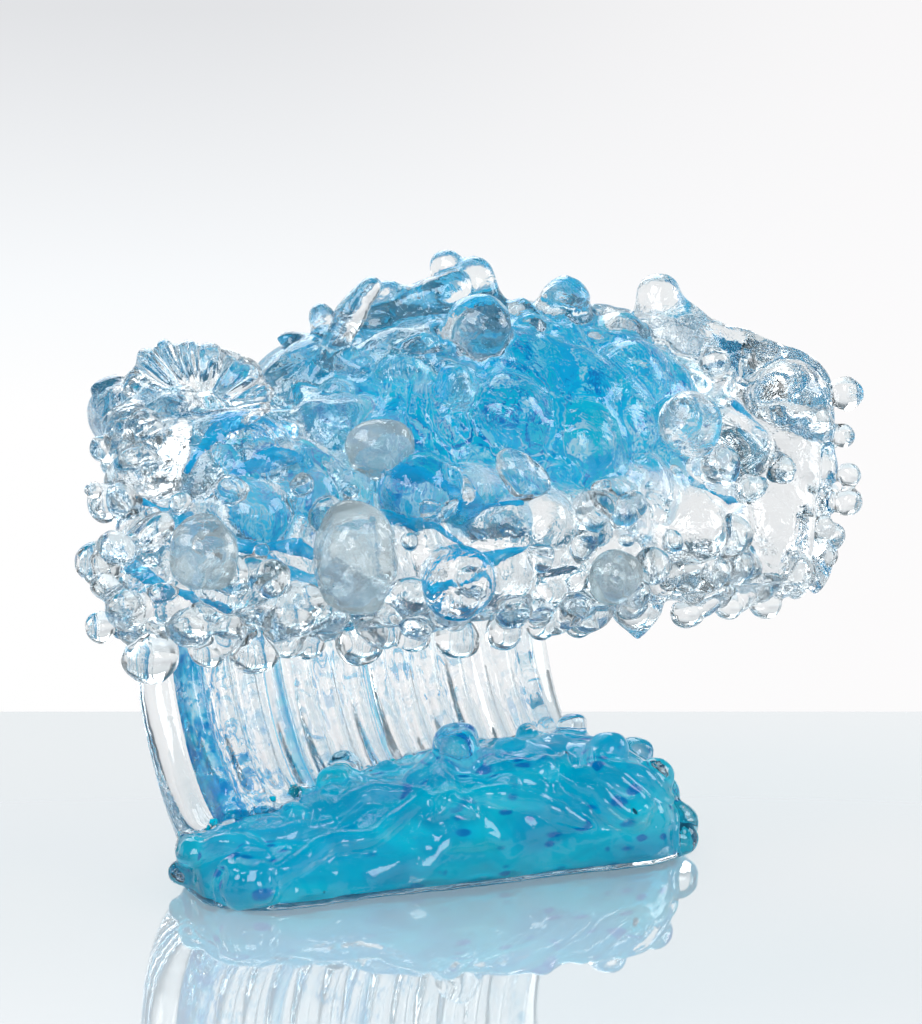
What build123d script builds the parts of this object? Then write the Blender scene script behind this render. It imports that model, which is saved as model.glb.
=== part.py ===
from build123d import *

import os
from math import cos, pi, radians, sin

# A hot-worked glass wave, built as its maker builds it: gathers of glass fused one on another.
#
# A heavy aqua pool stands on a ground foot.  From it rises the wave's wall, a ribbed sheet of
# blue-speckled glass with a clear casing behind it.  The sheet curls forward over the pool and
# ends inside a thick clear crest.  Mounds, fingers, balls, drops and beads of clear glass are
# fused on the crest as foam, and a few knobs stand on the pool as splashes.
#
# Frame: +Z up, the wave breaks towards -Y, its length runs along X.  The origin is the middle
# of the ground foot, on the surface that it stands on.  Sizes are in millimetres, angles in
# degrees.

# The curl line, an ellipse seen from the wave's end, on the sheet's outer side
curl_depth_radius = 67.0
curl_height_radius = 76.0
curl_height = 88.0  # middle of the curl above the foot
curl_back = 5.0  # middle of the curl behind the origin

# Angles round the curl: -90 is its bottom, 0 its back, 90 its top, 180 its front
wall_foot_angle = -80.0
wall_fan_angle = 0.0  # the wave grows longer from here
crest_root_angle = 60.0  # the wall ends and the clear crest begins
crest_top_angle = 95.0
crest_turn_angle = 105.0  # the ends shift to the left from here
sheet_lip_angle = 158.0  # the coloured sheet ends inside the crest
crest_round_angle = 164.0  # the lip is rounded from here
crest_lip_angle = 176.0
wall_step_count = 6  # sections that a loft runs through, less one
crest_step_count = 5

# Lengths along X
wall_length = 150.0
crest_top_left = 108.0
crest_top_right = 129.0
crest_lip_left = 119.0
crest_lip_right = 114.0
wall_sheet_edge = 10.0  # clear glass past each end of the coloured sheet
crest_sheet_edge = 26.0

# Thicknesses, measured square to the curl line
casing_thick = 12.0
casing_wrap = 4.0  # how far the casing reaches forward round the sheet's ends
wall_sheet_thick = 8.0
crest_sheet_thick = 5.0
crest_outer_thick = 17.0
crest_inner_thick = 15.0
crest_root_inner_thick = 12.0  # over the ribs where the crest begins
crest_droop = 13.0  # how far the crest's ends bend down from a straight line

# Optic ribs on the hollow side of the sheet
rib_count = 14
wall_rib_depth = 2.8
crest_rib_depth = 0.8

# The pool, from its ground foot up
pool_left = 80.0
pool_right = 87.0
pool_front = 27.0
pool_back = 17.0
pool_wall_reach = 34.0  # how far back its upper edge runs, to the sheet
pool_height = 33.0
pool_bulge = 3.5  # how far the front swells over the foot

# Clear bits fused on the crest: how far each stands out, and its radius
summit_peak_height = 25.0
summit_peak_radius = 7.0
summit_knob_height = 21.0
summit_knob_radius = 7.5
summit_ball_radius = 14.0
small_ball_radius = 6.0
right_ball_radius = 12.0
shoulder_ball_radius = 9.5
end_ball_radius = 12.0
frosted_ball_radius = 8.0
left_ball_radius = 10.5
right_finger_height = 31.0
right_finger_radius = 8.5
frosted_nub_height = 15.0
frosted_nub_radius = 7.0
face_drip_length = 21.0
face_drip_radius = 6.5
rim_drip_length = 17.0
rim_drip_radius = 8.0
great_drop_length = 33.0
great_drop_radius = 12.5
loop_radius = 13.0
loop_tube_radius = 6.0
loop_rise = 6.0
curl_radius = 8.5
curl_tube_radius = 4.0
band_length = 42.0
band_radius = 6.5
fan_width = 54.0
fan_depth = 30.0
fan_height = 25.0
fan_pleat_count = 11
fan_lean_angle = 15.0
band_lean_angle = 48.0
cone_length = 28.0
cone_mouth_radius = 9.0
cone_wall = 3.0
lens_ball_radius = 14.0
cup_radius = 11.0
cup_mouth_radius = 5.0
cup_depth = 5.0
curtain_width = 25.0
curtain_depth = 24.0
curtain_corner = 7.0

# Mounds and beads, by where they sit
mound_radius = 13.0
rim_bead_radius = 6.2
end_bead_radius = 6.0
face_bead_radius = 5.0
pool_bead_radius = 4.5

# Splashes on the pool
tall_splash_height = 19.0
tall_splash_radius = 7.5
low_splash_height = 12.0
low_splash_radius = 6.0
foot_drop_radius = 7.0
end_bulb_radius = 8.0
bulb_lift = 1.0  # the lowest bulbs clear the table by this much

# How bits sit and how shapes are cut
root_depth = 6.0  # how far a bit is made past the skin that it is fused to, before it is cut
cut_overrun = 2.0  # how far the pool is made below its foot, before it is ground flat
lift_share = 0.7  # share of a ball's radius from the skin that carries it out to its middle
mound_lift_share = -0.35  # a mound's middle lies below the skin
drip_lift_share = 0.4
lens_lift_share = -0.65  # the lens is the cap of a ball sunk this deep

# Where the crest swells along its length, as shares of its thickness outside and inside
outer_swell_shares = (
    (0, 0.62),
    (0.14, 0.95),
    (0.3, 0.8),
    (0.48, 1.14),
    (0.64, 1.04),
    (0.8, 0.82),
    (1, 0.6),
)
inner_swell_shares = ((0, 0.62), (0.25, 0.95), (0.5, 0.85), (0.75, 1), (1, 0.6))
lip_thin_share = 0.3  # how much of its thickness the crest loses towards the lip
lip_round_share = 0.55  # how much more it loses where the lip is rounded
section_shares = (0, 0.14, 0.3, 0.48, 0.64, 0.8, 1)  # where a section's faces are set out

# Places on the crest: share of its length from the left, share of the way from root to lip
summit_peak_shares = (0.45, 0.26)
summit_knob_shares = (0.52, 0.31)
summit_ball_shares = (0.47, 0.46)
small_ball_shares = (0.56, 0.43)
right_ball_shares = (0.65, 0.34)
right_finger_shares = (0.8, 0.35)
shoulder_ball_shares = (0.77, 0.68)
end_ball_shares = (0.96, 0.6)
frosted_nub_shares = (0.28, 0.33)
loop_shares = (0.38, 0.27)
face_curl_shares = (0.38, 0.5)
band_shares = (0.31, 0.46)
left_fan_shares = (0.07, 0.42)
face_drip_shares = (0.41, 0.61)
cone_shares = (0.46, 0.78)
lens_shares = (0.31, 0.68)
cup_shares = (0.4, 0.93)
great_drop_shares = (0.26, 0.88)
left_ball_shares = (0.06, 0.85)
frosted_ball_shares = (0.63, 0.94)
curtain_shares = ((0.94, 0.3), (0.95, 0.55), (0.93, 0.8), (0.9, 0.97))

# Mounds: share along, share of the way from root to lip, share of the mound's full radius
left_mound_shares = (
    (0.03, 0.62, 0.9),
    (0.12, 0.47, 1),
    (0.16, 0.66, 1.1),
    (0.13, 0.78, 0.9),
    (0.22, 0.36, 1),
)
middle_mound_shares = (
    (0.36, 0.76, 1),
    (0.49, 0.65, 1.2),
    (0.6, 0.7, 1.15),
    (0.53, 0.84, 0.9),
    (0.47, 0.92, 0.9),
)
right_mound_shares = (
    (0.7, 0.55, 1.1),
    (0.87, 0.4, 1.15),
    (0.86, 0.7, 1.1),
    (0.78, 0.86, 1),
    (0.72, 0.4, 0.8),
)

# Rim beads: share along the lip, share of the bead's full radius
left_rim_bead_shares = ((0.03, 1.3), (0.1, 0.9), (0.16, 1.15), (0.23, 0.8), (0.3, 1.1))
middle_rim_bead_shares = ((0.37, 0.85), (0.43, 1.1), (0.495, 0.95), (0.555, 0.75))
right_rim_bead_shares = ((0.605, 0.8), (0.78, 0.9), (0.85, 0.7), (0.92, 0.85))
rim_drip_share = 0.7

# End beads: share of the way from root to lip, share of the bead's full radius
left_end_bead_shares = ((0.5, 0.8), (0.68, 0.9), (0.83, 1.1), (0.97, 0.8))
right_end_bead_shares = ((0.3, 1.3), (0.46, 0.85), (0.6, 0.8), (0.78, 0.85), (0.93, 0.7))

# Face beads: share along, share of the way from root to lip, share of the bead's full radius
face_bead_shares = (
    (0.13, 0.62, 1),
    (0.15, 0.9, 1.2),
    (0.19, 0.74, 0.8),
    (0.36, 0.8, 0.9),
    (0.52, 0.9, 1),
    (0.6, 0.83, 1.3),
    (0.67, 0.82, 0.8),
    (0.7, 0.93, 1.1),
    (0.85, 0.5, 1.1),
    (0.84, 0.88, 1.2),
)

# Shares of a pulled bit, a pleated fan and the pool
pulled_foot_share = 1.7
fan_valley_share = 0.88
fan_foot_share = 0.5
fan_rise_shares = ((0.3, 0.9), (0.75, 0.85), (1, 0.45))
rim_across_share = 0.35  # beads sit forward of the lip's middle
pool_shoulder_share = 0.8
pool_ridge_share = 0.35
pool_trough_share = 0.3
pool_pull_share = 1.25  # how far the curve's poles lie past the heights that it reaches

# The pool along its length: share along, share of the front edge, then the heights of its front
# shoulder, its first ridge, the trough behind and its back edge, as shares of the pool's height,
# and last the share of its reach to the wall
pool_row_shares = (
    (0, 0.4, 0.2, 0.26, 0.26, 0.3, 0.5),
    (0.05, 0.8, 0.42, 0.46, 0.38, 0.5, 0.9),
    (0.18, 1, 0.4, 0.66, 0.42, 0.75, 1),
    (0.33, 0.95, 0.5, 0.62, 0.66, 0.8, 1),
    (0.5, 1, 0.82, 0.98, 0.72, 0.92, 1),
    (0.66, 0.97, 0.7, 0.98, 0.82, 1, 1),
    (0.82, 1, 0.76, 0.86, 0.94, 1, 1),
    (0.95, 0.84, 0.52, 0.72, 0.66, 0.86, 0.9),
    (1, 0.42, 0.24, 0.34, 0.34, 0.4, 0.5),
)

# Splashes on the pool: share of its length, share of the way from front edge to back edge
tall_splash_shares = (0.55, 0.5)
left_splash_shares = (0.32, 0.66)
right_splash_shares = (0.85, 0.8)
end_splash_shares = (0.93, 0.42)
foot_drop_shares = (0.08, 0)
pool_bead_shares = (
    (0.2, 0.42, 1.1),
    (0.25, 0.75, 0.9),
    (0.44, 0.75, 0.9),
    (0.68, 0.6, 1.3),
    (0.76, 0.85, 0.9),
)


def eased(value, low, high):
    """0 below low, 1 above high and a smooth rise between them."""
    t = min(max((value - low) / (high - low), 0.0), 1.0)
    return t * t * (3 - 2 * t)


def read_off(rows, at, column=1):
    """A value from a table of shares, by straight lines between its rows."""
    for row, following in zip(rows, rows[1:]):
        if at <= following[0]:
            t = (at - row[0]) / (following[0] - row[0])
            return row[column] + (following[column] - row[column]) * t
    return rows[-1][column]


def curl_plane(angle):
    """The plane square to the curl line: its x runs along the wave, its y points out of the curl."""
    a = radians(angle)
    origin = (0, curl_back + curl_depth_radius * cos(a), curl_height + curl_height_radius * sin(a))
    along = (0, -curl_depth_radius * sin(a), curl_height_radius * cos(a))
    return Plane(origin=origin, x_dir=(1, 0, 0), z_dir=along)


def x_at(angle, share, edge):
    """X at a share of the wave's length at an angle, kept an edge short at both ends."""
    half = wall_length / 2
    fan = eased(angle, wall_fan_angle, crest_top_angle)
    turn = eased(angle, crest_turn_angle, crest_lip_angle)
    left = half + (crest_top_left - half) * fan + (crest_lip_left - crest_top_left) * turn
    right = half + (crest_top_right - half) * fan + (crest_lip_right - crest_top_right) * turn
    return edge - left + (left + right - 2 * edge) * share


def droop_at(angle, share):
    """How far the glass bends into the curl at a share of its length."""
    return crest_droop * eased(angle, wall_fan_angle, crest_top_angle) * (2 * share - 1) ** 2


def thinned(angle):
    """The crest thins towards its lip, and its lip is round."""
    thin = 1 - lip_thin_share * eased(angle, crest_turn_angle, crest_lip_angle)
    past = max(angle - crest_round_angle, 0) / (crest_lip_angle - crest_round_angle)
    return thin * (1 - lip_round_share * past**2)


def crest_outer(angle, along):
    """The crest's thickness outside the curl line: the casing's at its root, then its own."""
    grown = eased(angle, crest_root_angle, crest_top_angle)
    swell = 1 + (read_off(outer_swell_shares, along) - 1) * grown
    return (casing_thick + (crest_outer_thick - casing_thick) * grown) * swell * thinned(angle)


def crest_inner(angle, along):
    """The crest's thickness inside the curl line."""
    grown = eased(angle, crest_root_angle, crest_top_angle)
    swell = 1 + (read_off(inner_swell_shares, along) - 1) * grown
    full = crest_root_inner_thick + (crest_inner_thick - crest_root_inner_thick) * grown
    return full * swell * thinned(angle)


def casing_outer(angle, along):
    """The casing's thickness outside the curl line."""
    return casing_thick


def casing_inner(angle, along):
    """How far the casing reaches inside the curl line, round the sheet's ends."""
    return casing_wrap


def strip_section(angle, outer_at, inner_at):
    """A section of the casing or of the crest: swelling faces and round ends."""
    end = (outer_at(angle, 0) + inner_at(angle, 0)) / 2
    places = [(x_at(angle, s, end), droop_at(angle, s), s) for s in section_shares]
    outer = [(x, outer_at(angle, s) - droop) for x, droop, s in places]
    inner = [(x, -inner_at(angle, s) - droop) for x, droop, s in places]
    left = (x_at(angle, 0, 0), (outer[0][1] + inner[0][1]) / 2)
    right = (x_at(angle, 1, 0), (outer[-1][1] + inner[-1][1]) / 2)
    with BuildSketch(curl_plane(angle)) as section:
        with BuildLine():
            Spline(*outer)
            ThreePointArc(outer[-1], right, inner[-1])
            Spline(*reversed(inner))
            ThreePointArc(inner[0], left, outer[0])
        make_face()
    return section.sketch


def ribbed_section(angle):
    """A section of the coloured sheet: smooth outside, a row of round ribs inside."""
    rise = eased(angle, wall_fan_angle, crest_top_angle)
    edge = wall_sheet_edge + (crest_sheet_edge - wall_sheet_edge) * rise
    thick = wall_sheet_thick + (crest_sheet_thick - wall_sheet_thick) * rise
    depth = wall_rib_depth + (crest_rib_depth - wall_rib_depth) * rise
    shares = [k / rib_count for k in range(rib_count + 1)]
    valleys = [(x_at(angle, s, edge), -thick - droop_at(angle, s)) for s in shares]
    tops = []
    for k in range(rib_count):
        s = (shares[k] + shares[k + 1]) / 2
        tops.append((x_at(angle, s, edge), -thick - depth - droop_at(angle, s)))
    outer = [(x_at(angle, s, edge), -droop_at(angle, s)) for s in section_shares]
    with BuildSketch(curl_plane(angle)) as section:
        with BuildLine():
            Spline(*outer)
            Line(outer[-1], valleys[-1])
            for k in reversed(range(rib_count)):
                ThreePointArc(valleys[k + 1], tops[k], valleys[k])
            Line(valleys[0], outer[0])
        make_face()
    return section.sketch


def steps(first, last, count):
    """Evenly spaced angles from first to last."""
    return [first + (last - first) * k / count for k in range(count + 1)]


def crest_angle(way):
    """The angle at a share of the way from the crest's root to its lip."""
    return crest_root_angle + (crest_lip_angle - crest_root_angle) * way


def end_round(angle):
    """The radius of the crest's round ends."""
    return (crest_outer(angle, 0) + crest_inner(angle, 0)) / 2


def crest_seat(along, way):
    """The plane on the crest's outer skin at shares of its length and of the way to its lip."""
    angle = crest_angle(way)
    square = curl_plane(angle)
    x = x_at(angle, along, end_round(angle))
    origin = square.from_local_coords((x, crest_outer(angle, along) - droop_at(angle, along), 0))
    return Plane(origin=origin, x_dir=(1, 0, 0), z_dir=square.y_dir)


def end_seat(side, way):
    """The plane on the crest's round end, facing along -X on side 0 and along +X on side 1."""
    angle = crest_angle(way)
    square = curl_plane(angle)
    middle = (crest_outer(angle, side) - crest_inner(angle, side)) / 2 - droop_at(angle, side)
    origin = square.from_local_coords((x_at(angle, side, 0), middle, 0))
    return Plane(origin=origin, x_dir=square.z_dir, z_dir=(2 * side - 1, 0, 0))


def rim_seat(along, across):
    """The plane on the crest's lip, facing down, at a share of its half thickness from its middle."""
    angle = crest_lip_angle
    square = curl_plane(angle)
    outer = crest_outer(angle, along)
    inner = crest_inner(angle, along)
    middle = (outer - inner) / 2 + across * (outer + inner) / 2 - droop_at(angle, along)
    origin = square.from_local_coords((x_at(angle, along, end_round(angle)), middle, 0))
    return Plane(origin=origin, x_dir=(1, 0, 0), z_dir=square.z_dir)


def upright(seat, lean=0.0):
    """A seat turned to face straight up, leaning by an angle towards its own outward side."""
    return Plane(origin=seat.origin, x_dir=(1, 0, 0), z_dir=(0, -sin(radians(lean)), cos(radians(lean))))


def side_plane(seat):
    """The plane that stands on a seat, its x along the seat's x and its y straight out of it."""
    return Plane(origin=seat.origin, x_dir=seat.x_dir, z_dir=-seat.y_dir)


def pulled_outline(seat, foot, waist, head, height):
    """Half the outline of a bit pulled out of the glass: a flared foot, a waist and a round head."""
    with BuildSketch(side_plane(seat)) as outline:
        with BuildLine():
            Line((0, -root_depth), (foot, -root_depth))
            Spline(
                (foot, -root_depth),
                (waist, (height - head) / 2),
                (head, height - head),
                (0, height),
                tangents=((-1, 1), (-1, 0)),
            )
            Line((0, height), (0, -root_depth))
        make_face()
    return outline.sketch


def drip_outline(seat, radius, length):
    """Half the outline of a drip that hangs: a thin top, a full round bottom."""
    with BuildSketch(side_plane(seat)) as outline:
        with BuildLine():
            Line((0, -length / 2), (0, length / 2))
            Spline((0, length / 2), (radius, length / 6), (0, -length / 2), tangents=((1, 0), (-1, -1)))
        make_face()
    return outline.sketch


def fan_section(seat, height, grow):
    """A section across the pleated fan: an ellipse with a row of round pleats."""
    points = []
    for k in range(2 * fan_pleat_count):
        a = pi * k / fan_pleat_count
        pleat = 1 if k % 2 else fan_valley_share
        points.append((fan_width / 2 * grow * pleat * cos(a), fan_depth / 2 * grow * pleat * sin(a)))
    points.append(points[0])
    with BuildSketch(seat.offset(height)) as section:
        with BuildLine():
            for k in range(fan_pleat_count):
                ThreePointArc(points[2 * k], points[2 * k + 1], points[2 * k + 2])
        make_face()
    return section.sketch


def pool_section(row):
    """A section across the pool, from below the ground foot: swollen front, two ridges and a trough."""
    along, front_share, shoulder, ridge, trough, back, reach_share = row
    front = -pool_front * front_share
    reach = pool_wall_reach * reach_share
    heel = (pool_back * reach_share, -cut_overrun)
    pull = (
        (front, -cut_overrun),
        (front - 2 * pool_bulge * shoulder, pool_height * shoulder / 2),
        (front, pool_height * shoulder * pool_pull_share),
        (front * pool_ridge_share, pool_height * ridge * pool_pull_share),
        (reach * pool_trough_share, pool_height * (2 * trough - ridge * pool_pull_share / 2)),
        (reach * 2 * pool_trough_share, pool_height * back),
        (reach, pool_height * back),
    )
    with BuildSketch(Plane.YZ.offset((pool_left + pool_right) * along - pool_left)) as section:
        with BuildLine():
            Bezier(*pull)
            Line(pull[-1], heel)
            Line(heel, pull[0])
        make_face()
    return section.sketch


def pool_seat(along, way):
    """A level plane on the pool, at shares of its length and of the way from front to back."""
    rows = pool_row_shares
    front = -pool_front * read_off(rows, along)
    y = front + (pool_wall_reach - front) * way
    heights = [(front * pool_shoulder_share, read_off(rows, along, 2))]
    heights.append((front * pool_ridge_share, read_off(rows, along, 3)))
    heights.append((pool_wall_reach * pool_trough_share, read_off(rows, along, 4)))
    heights.append((pool_wall_reach, read_off(rows, along, 5)))
    z = pool_height * read_off(heights, max(y, heights[0][0]))
    return Plane(origin=((pool_left + pool_right) * along - pool_left, y, z))


def on_face(places):
    """Seats and size shares of beads on the crest's face."""
    return [(crest_seat(along, way), size) for along, way, size in places]


def on_rim(places):
    """Seats and size shares of beads on the crest's lip."""
    return [(rim_seat(along, rim_across_share), size) for along, size in places]


def on_end(side, places):
    """Seats and size shares of beads on one of the crest's round ends."""
    return [(end_seat(side, way), size) for way, size in places]


def on_pool(places):
    """Seats and size shares of beads on the pool."""
    return [(pool_seat(along, way), size) for along, way, size in places]


def boxes_of(part):
    """The box of each of a part's solids."""
    return [solid.bounding_box() for solid in part.solids()]


def keep(piece, name):
    """Names a finished piece and writes it."""
    piece.part.label = name
    export_step(piece.part, "parts/" + name + ".step")


os.makedirs("parts", exist_ok=True)

# Wall: the coloured sheet and the clear casing behind it
with BuildPart() as wall_sheet:
    for angle in steps(wall_foot_angle, crest_root_angle, wall_step_count):
        add(ribbed_section(angle))
    loft()
keep(wall_sheet, "wall_sheet")

with BuildPart() as wall_casing:
    for angle in steps(wall_foot_angle, crest_root_angle, wall_step_count):
        add(strip_section(angle, casing_outer, casing_inner))
    loft()
    add(wall_sheet.part, mode=Mode.SUBTRACT)
keep(wall_casing, "wall_casing")

# Crest: the end of the coloured sheet, inside a thick clear gather
with BuildPart() as crest_sheet:
    for angle in steps(crest_root_angle, sheet_lip_angle, crest_step_count):
        add(ribbed_section(angle))
    loft()
keep(crest_sheet, "crest_sheet")

with BuildPart() as crest_gather:
    for angle in steps(crest_root_angle, crest_round_angle, crest_step_count) + [crest_lip_angle]:
        add(strip_section(angle, crest_outer, crest_inner))
    loft()

with BuildPart() as crest:
    add(crest_gather.part)
    add(crest_sheet.part, mode=Mode.SUBTRACT)
keep(crest, "crest")

# Pool: one heavy gather, cut to the wall's foot that stands in it
with BuildPart() as pool:
    for row in pool_row_shares:
        add(pool_section(row))
    loft()
    add(wall_casing.part, mode=Mode.SUBTRACT)
    add(wall_sheet.part, mode=Mode.SUBTRACT)
    split(bisect_by=Plane.XY, keep=Keep.TOP)
keep(pool, "pool")

# Each bit is cut to the skins that it is fused to: the wave's own, and those of the bits before it
skins = (crest_gather.part, wall_casing.part, wall_sheet.part, pool.part)
carriers = [(skin, boxes_of(skin)) for skin in skins]


def fuse_on(piece):
    """Cuts the open piece to the skins that it meets, and lets later pieces sit on it."""
    boxes = boxes_of(piece.part)
    for carrier, carrier_boxes in carriers:
        if any(box.overlaps(there) for box in boxes for there in carrier_boxes):
            add(carrier, mode=Mode.SUBTRACT)
    add(piece.solids().sort_by(SortBy.VOLUME)[-1], mode=Mode.REPLACE)
    carriers.append((piece.part, boxes_of(piece.part)))


# Balls, partly sunk in the crest's outer skin
balls = (
    ("summit_ball", summit_ball_radius, crest_seat(*summit_ball_shares)),
    ("right_ball", right_ball_radius, crest_seat(*right_ball_shares)),
    ("small_ball", small_ball_radius, crest_seat(*small_ball_shares)),
    ("shoulder_ball", shoulder_ball_radius, crest_seat(*shoulder_ball_shares)),
    ("end_ball", end_ball_radius, crest_seat(*end_ball_shares)),
    ("left_ball", left_ball_radius, crest_seat(*left_ball_shares)),
    ("frosted_ball", frosted_ball_radius, crest_seat(*frosted_ball_shares)),
)
for name, radius, seat in balls:
    with BuildPart() as ball:
        with Locations(seat.offset(radius * lift_share)):
            Sphere(radius)
        fuse_on(ball)
    keep(ball, name)

# Bits pulled up out of the crest
pulled = (
    ("summit_peak", summit_peak_radius, summit_peak_height, upright(crest_seat(*summit_peak_shares))),
    ("summit_knob", summit_knob_radius, summit_knob_height, upright(crest_seat(*summit_knob_shares))),
    ("right_finger", right_finger_radius, right_finger_height, upright(crest_seat(*right_finger_shares))),
    ("frosted_nub", frosted_nub_radius, frosted_nub_height, upright(crest_seat(*frosted_nub_shares))),
)
for name, radius, height, seat in pulled:
    with BuildPart() as knob:
        add(pulled_outline(seat, radius * pulled_foot_share, radius, radius, height))
        revolve(axis=Axis(seat.origin, seat.z_dir))
        fuse_on(knob)
    keep(knob, name)

# Drips that hang, one down the face and one from the rim
drips = (
    ("face_drip", face_drip_radius, face_drip_length, crest_seat(*face_drip_shares)),
    ("rim_drip", rim_drip_radius, rim_drip_length, rim_seat(rim_drip_share, rim_across_share)),
)
for name, radius, length, seat in drips:
    hang = Plane(origin=seat.offset(radius * drip_lift_share).origin, x_dir=(1, 0, 0), z_dir=(0, 0, 1))
    with BuildPart() as drip:
        add(drip_outline(hang, radius, length))
        revolve(axis=Axis(hang.origin, hang.z_dir))
        fuse_on(drip)
    keep(drip, name)

# The great drop on the front, longer than it is wide
seat = crest_seat(*great_drop_shares).offset(great_drop_radius * drip_lift_share)
reach = great_drop_length / 2 - great_drop_radius
with BuildPart() as great_drop:
    with Locations(Plane(origin=seat.origin)):
        Cylinder(great_drop_radius, 2 * reach)
    with Locations(Plane(origin=seat.origin).offset(reach), Plane(origin=seat.origin).offset(-reach)):
        Sphere(great_drop_radius)
    fuse_on(great_drop)
keep(great_drop, "great_drop")

# A finger drawn out, bent over and fused again, and a small one that lies curled on the face
arches = (
    ("looped_finger", loop_radius, loop_tube_radius, upright(crest_seat(*loop_shares))),
    ("face_curl", curl_radius, curl_tube_radius, crest_seat(*face_curl_shares)),
)
for name, radius, tube, seat in arches:
    with BuildPart() as arch:
        with BuildLine(side_plane(seat)) as path:
            ThreePointArc((-radius, -root_depth), (0, radius), (radius, -root_depth))
        with BuildSketch(Plane(origin=path.line @ 0, z_dir=path.line % 0)):
            Circle(tube)
        sweep()
        fuse_on(arch)
    keep(arch, name)

# A band of glass that leans up against the looped finger
seat = crest_seat(*band_shares)
band_lean = radians(band_lean_angle)
lean = Plane(origin=seat.origin, x_dir=(cos(band_lean), 0, sin(band_lean)), z_dir=(0, -1, 0))
with BuildPart() as leaning_band:
    with BuildSketch(lean) as outline:
        with BuildLine():
            EllipticalCenterArc((0, 0), band_length / 2, band_radius, start_angle=0, arc_size=180)
            Line((band_length / 2, 0), (-band_length / 2, 0))
        make_face()
    revolve(axis=Axis(lean.origin, lean.x_dir))
    fuse_on(leaning_band)
keep(leaning_band, "leaning_band")

# A pleated fan at the wave's left shoulder
with BuildPart() as left_fan:
    seat = upright(crest_seat(*left_fan_shares), fan_lean_angle)
    add(fan_section(seat, -root_depth, fan_foot_share))
    for rise, grow in fan_rise_shares:
        add(fan_section(seat, fan_height * rise, grow))
    loft()
    fuse_on(left_fan)
keep(left_fan, "left_fan")

# A cone of glass folded open on the face, its mouth to the left
seat = crest_seat(*cone_shares)
with BuildPart() as folded_cone:
    with BuildSketch(side_plane(seat)) as outline:
        with BuildLine():
            Polyline(
                (-cone_length / 2, cone_mouth_radius),
                (cone_length / 2, cone_wall),
                (cone_length / 2, 0),
                (0, 0),
                (-cone_length / 2, cone_mouth_radius - cone_wall),
                close=True,
            )
        make_face()
    revolve(axis=Axis(seat.origin, seat.x_dir))
    fuse_on(folded_cone)
keep(folded_cone, "folded_cone")

# A flat lens and a cup with a dimple
with BuildPart() as lens_drop:
    with Locations(crest_seat(*lens_shares).offset(lens_ball_radius * lens_lift_share)):
        Sphere(lens_ball_radius)
    fuse_on(lens_drop)
keep(lens_drop, "lens_drop")

seat = crest_seat(*cup_shares)
with BuildPart() as cup_drop:
    with Locations(seat.offset(cup_radius * lift_share)):
        Sphere(cup_radius)
    with Locations(seat.offset(cup_radius * (1 + lift_share))):
        Sphere(cup_mouth_radius, mode=Mode.SUBTRACT)
    fuse_on(cup_drop)
keep(cup_drop, "cup_drop")

# A thick curtain of glass that hangs down the wave's right end
with BuildPart() as right_curtain:
    for share, way in curtain_shares:
        with BuildSketch(Plane(origin=crest_seat(share, way).origin)):
            RectangleRounded(curtain_width, curtain_depth, curtain_corner)
    loft()
    fuse_on(right_curtain)
keep(right_curtain, "right_curtain")

# Splashes pulled up out of the pool
splashes = (
    ("tall_splash", tall_splash_radius, tall_splash_height, pool_seat(*tall_splash_shares)),
    ("left_splash", low_splash_radius, low_splash_height, pool_seat(*left_splash_shares)),
    ("right_splash", low_splash_radius, low_splash_height, pool_seat(*right_splash_shares)),
    ("end_splash", low_splash_radius, low_splash_height, pool_seat(*end_splash_shares)),
)
for name, radius, height, seat in splashes:
    with BuildPart() as splash:
        add(pulled_outline(seat, radius * pulled_foot_share, radius, radius, height))
        revolve(axis=Axis(seat.origin, seat.z_dir))
        fuse_on(splash)
    keep(splash, name)

# Bulbs that stand out of the pool's front corner and its right end, just clear of the table
corner = pool_seat(*foot_drop_shares).origin
with BuildPart() as foot_drop:
    with Locations((corner.X, corner.Y, foot_drop_radius + bulb_lift)):
        Sphere(foot_drop_radius)
    fuse_on(foot_drop)
keep(foot_drop, "foot_drop")

with BuildPart() as end_bulb:
    with Locations((pool_right - end_bulb_radius / 2, -pool_front / 2, end_bulb_radius + bulb_lift)):
        Sphere(end_bulb_radius)
    fuse_on(end_bulb)
keep(end_bulb, "end_bulb")

# Broad mounds sunk deep in the crest, and beads along its rim, at its ends, on its face and on
# the pool: each group is one node of separate solids
groups = (
    ("left_mounds", mound_radius, mound_lift_share, on_face(left_mound_shares)),
    ("middle_mounds", mound_radius, mound_lift_share, on_face(middle_mound_shares)),
    ("right_mounds", mound_radius, mound_lift_share, on_face(right_mound_shares)),
    ("left_rim_beads", rim_bead_radius, lift_share, on_rim(left_rim_bead_shares)),
    ("middle_rim_beads", rim_bead_radius, lift_share, on_rim(middle_rim_bead_shares)),
    ("right_rim_beads", rim_bead_radius, lift_share, on_rim(right_rim_bead_shares)),
    ("left_end_beads", end_bead_radius, lift_share, on_end(0, left_end_bead_shares)),
    ("right_end_beads", end_bead_radius, lift_share, on_end(1, right_end_bead_shares)),
    ("face_beads", face_bead_radius, lift_share, on_face(face_bead_shares)),
    ("pool_beads", pool_bead_radius, lift_share, on_pool(pool_bead_shares)),
)
for name, radius, lift, places in groups:
    beads = []
    for seat, size in places:
        with BuildPart() as bead:
            with Locations(seat.offset(radius * size * lift)):
                Sphere(radius * size)
            fuse_on(bead)
        beads.append(bead.solid())
    with BuildPart() as group:
        add(beads, mode=Mode.REPLACE)
    keep(group, name)
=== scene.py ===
import math
import random

import bmesh
import bpy
from mathutils import Matrix, Vector, noise
from mathutils.bvhtree import BVHTree


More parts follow.
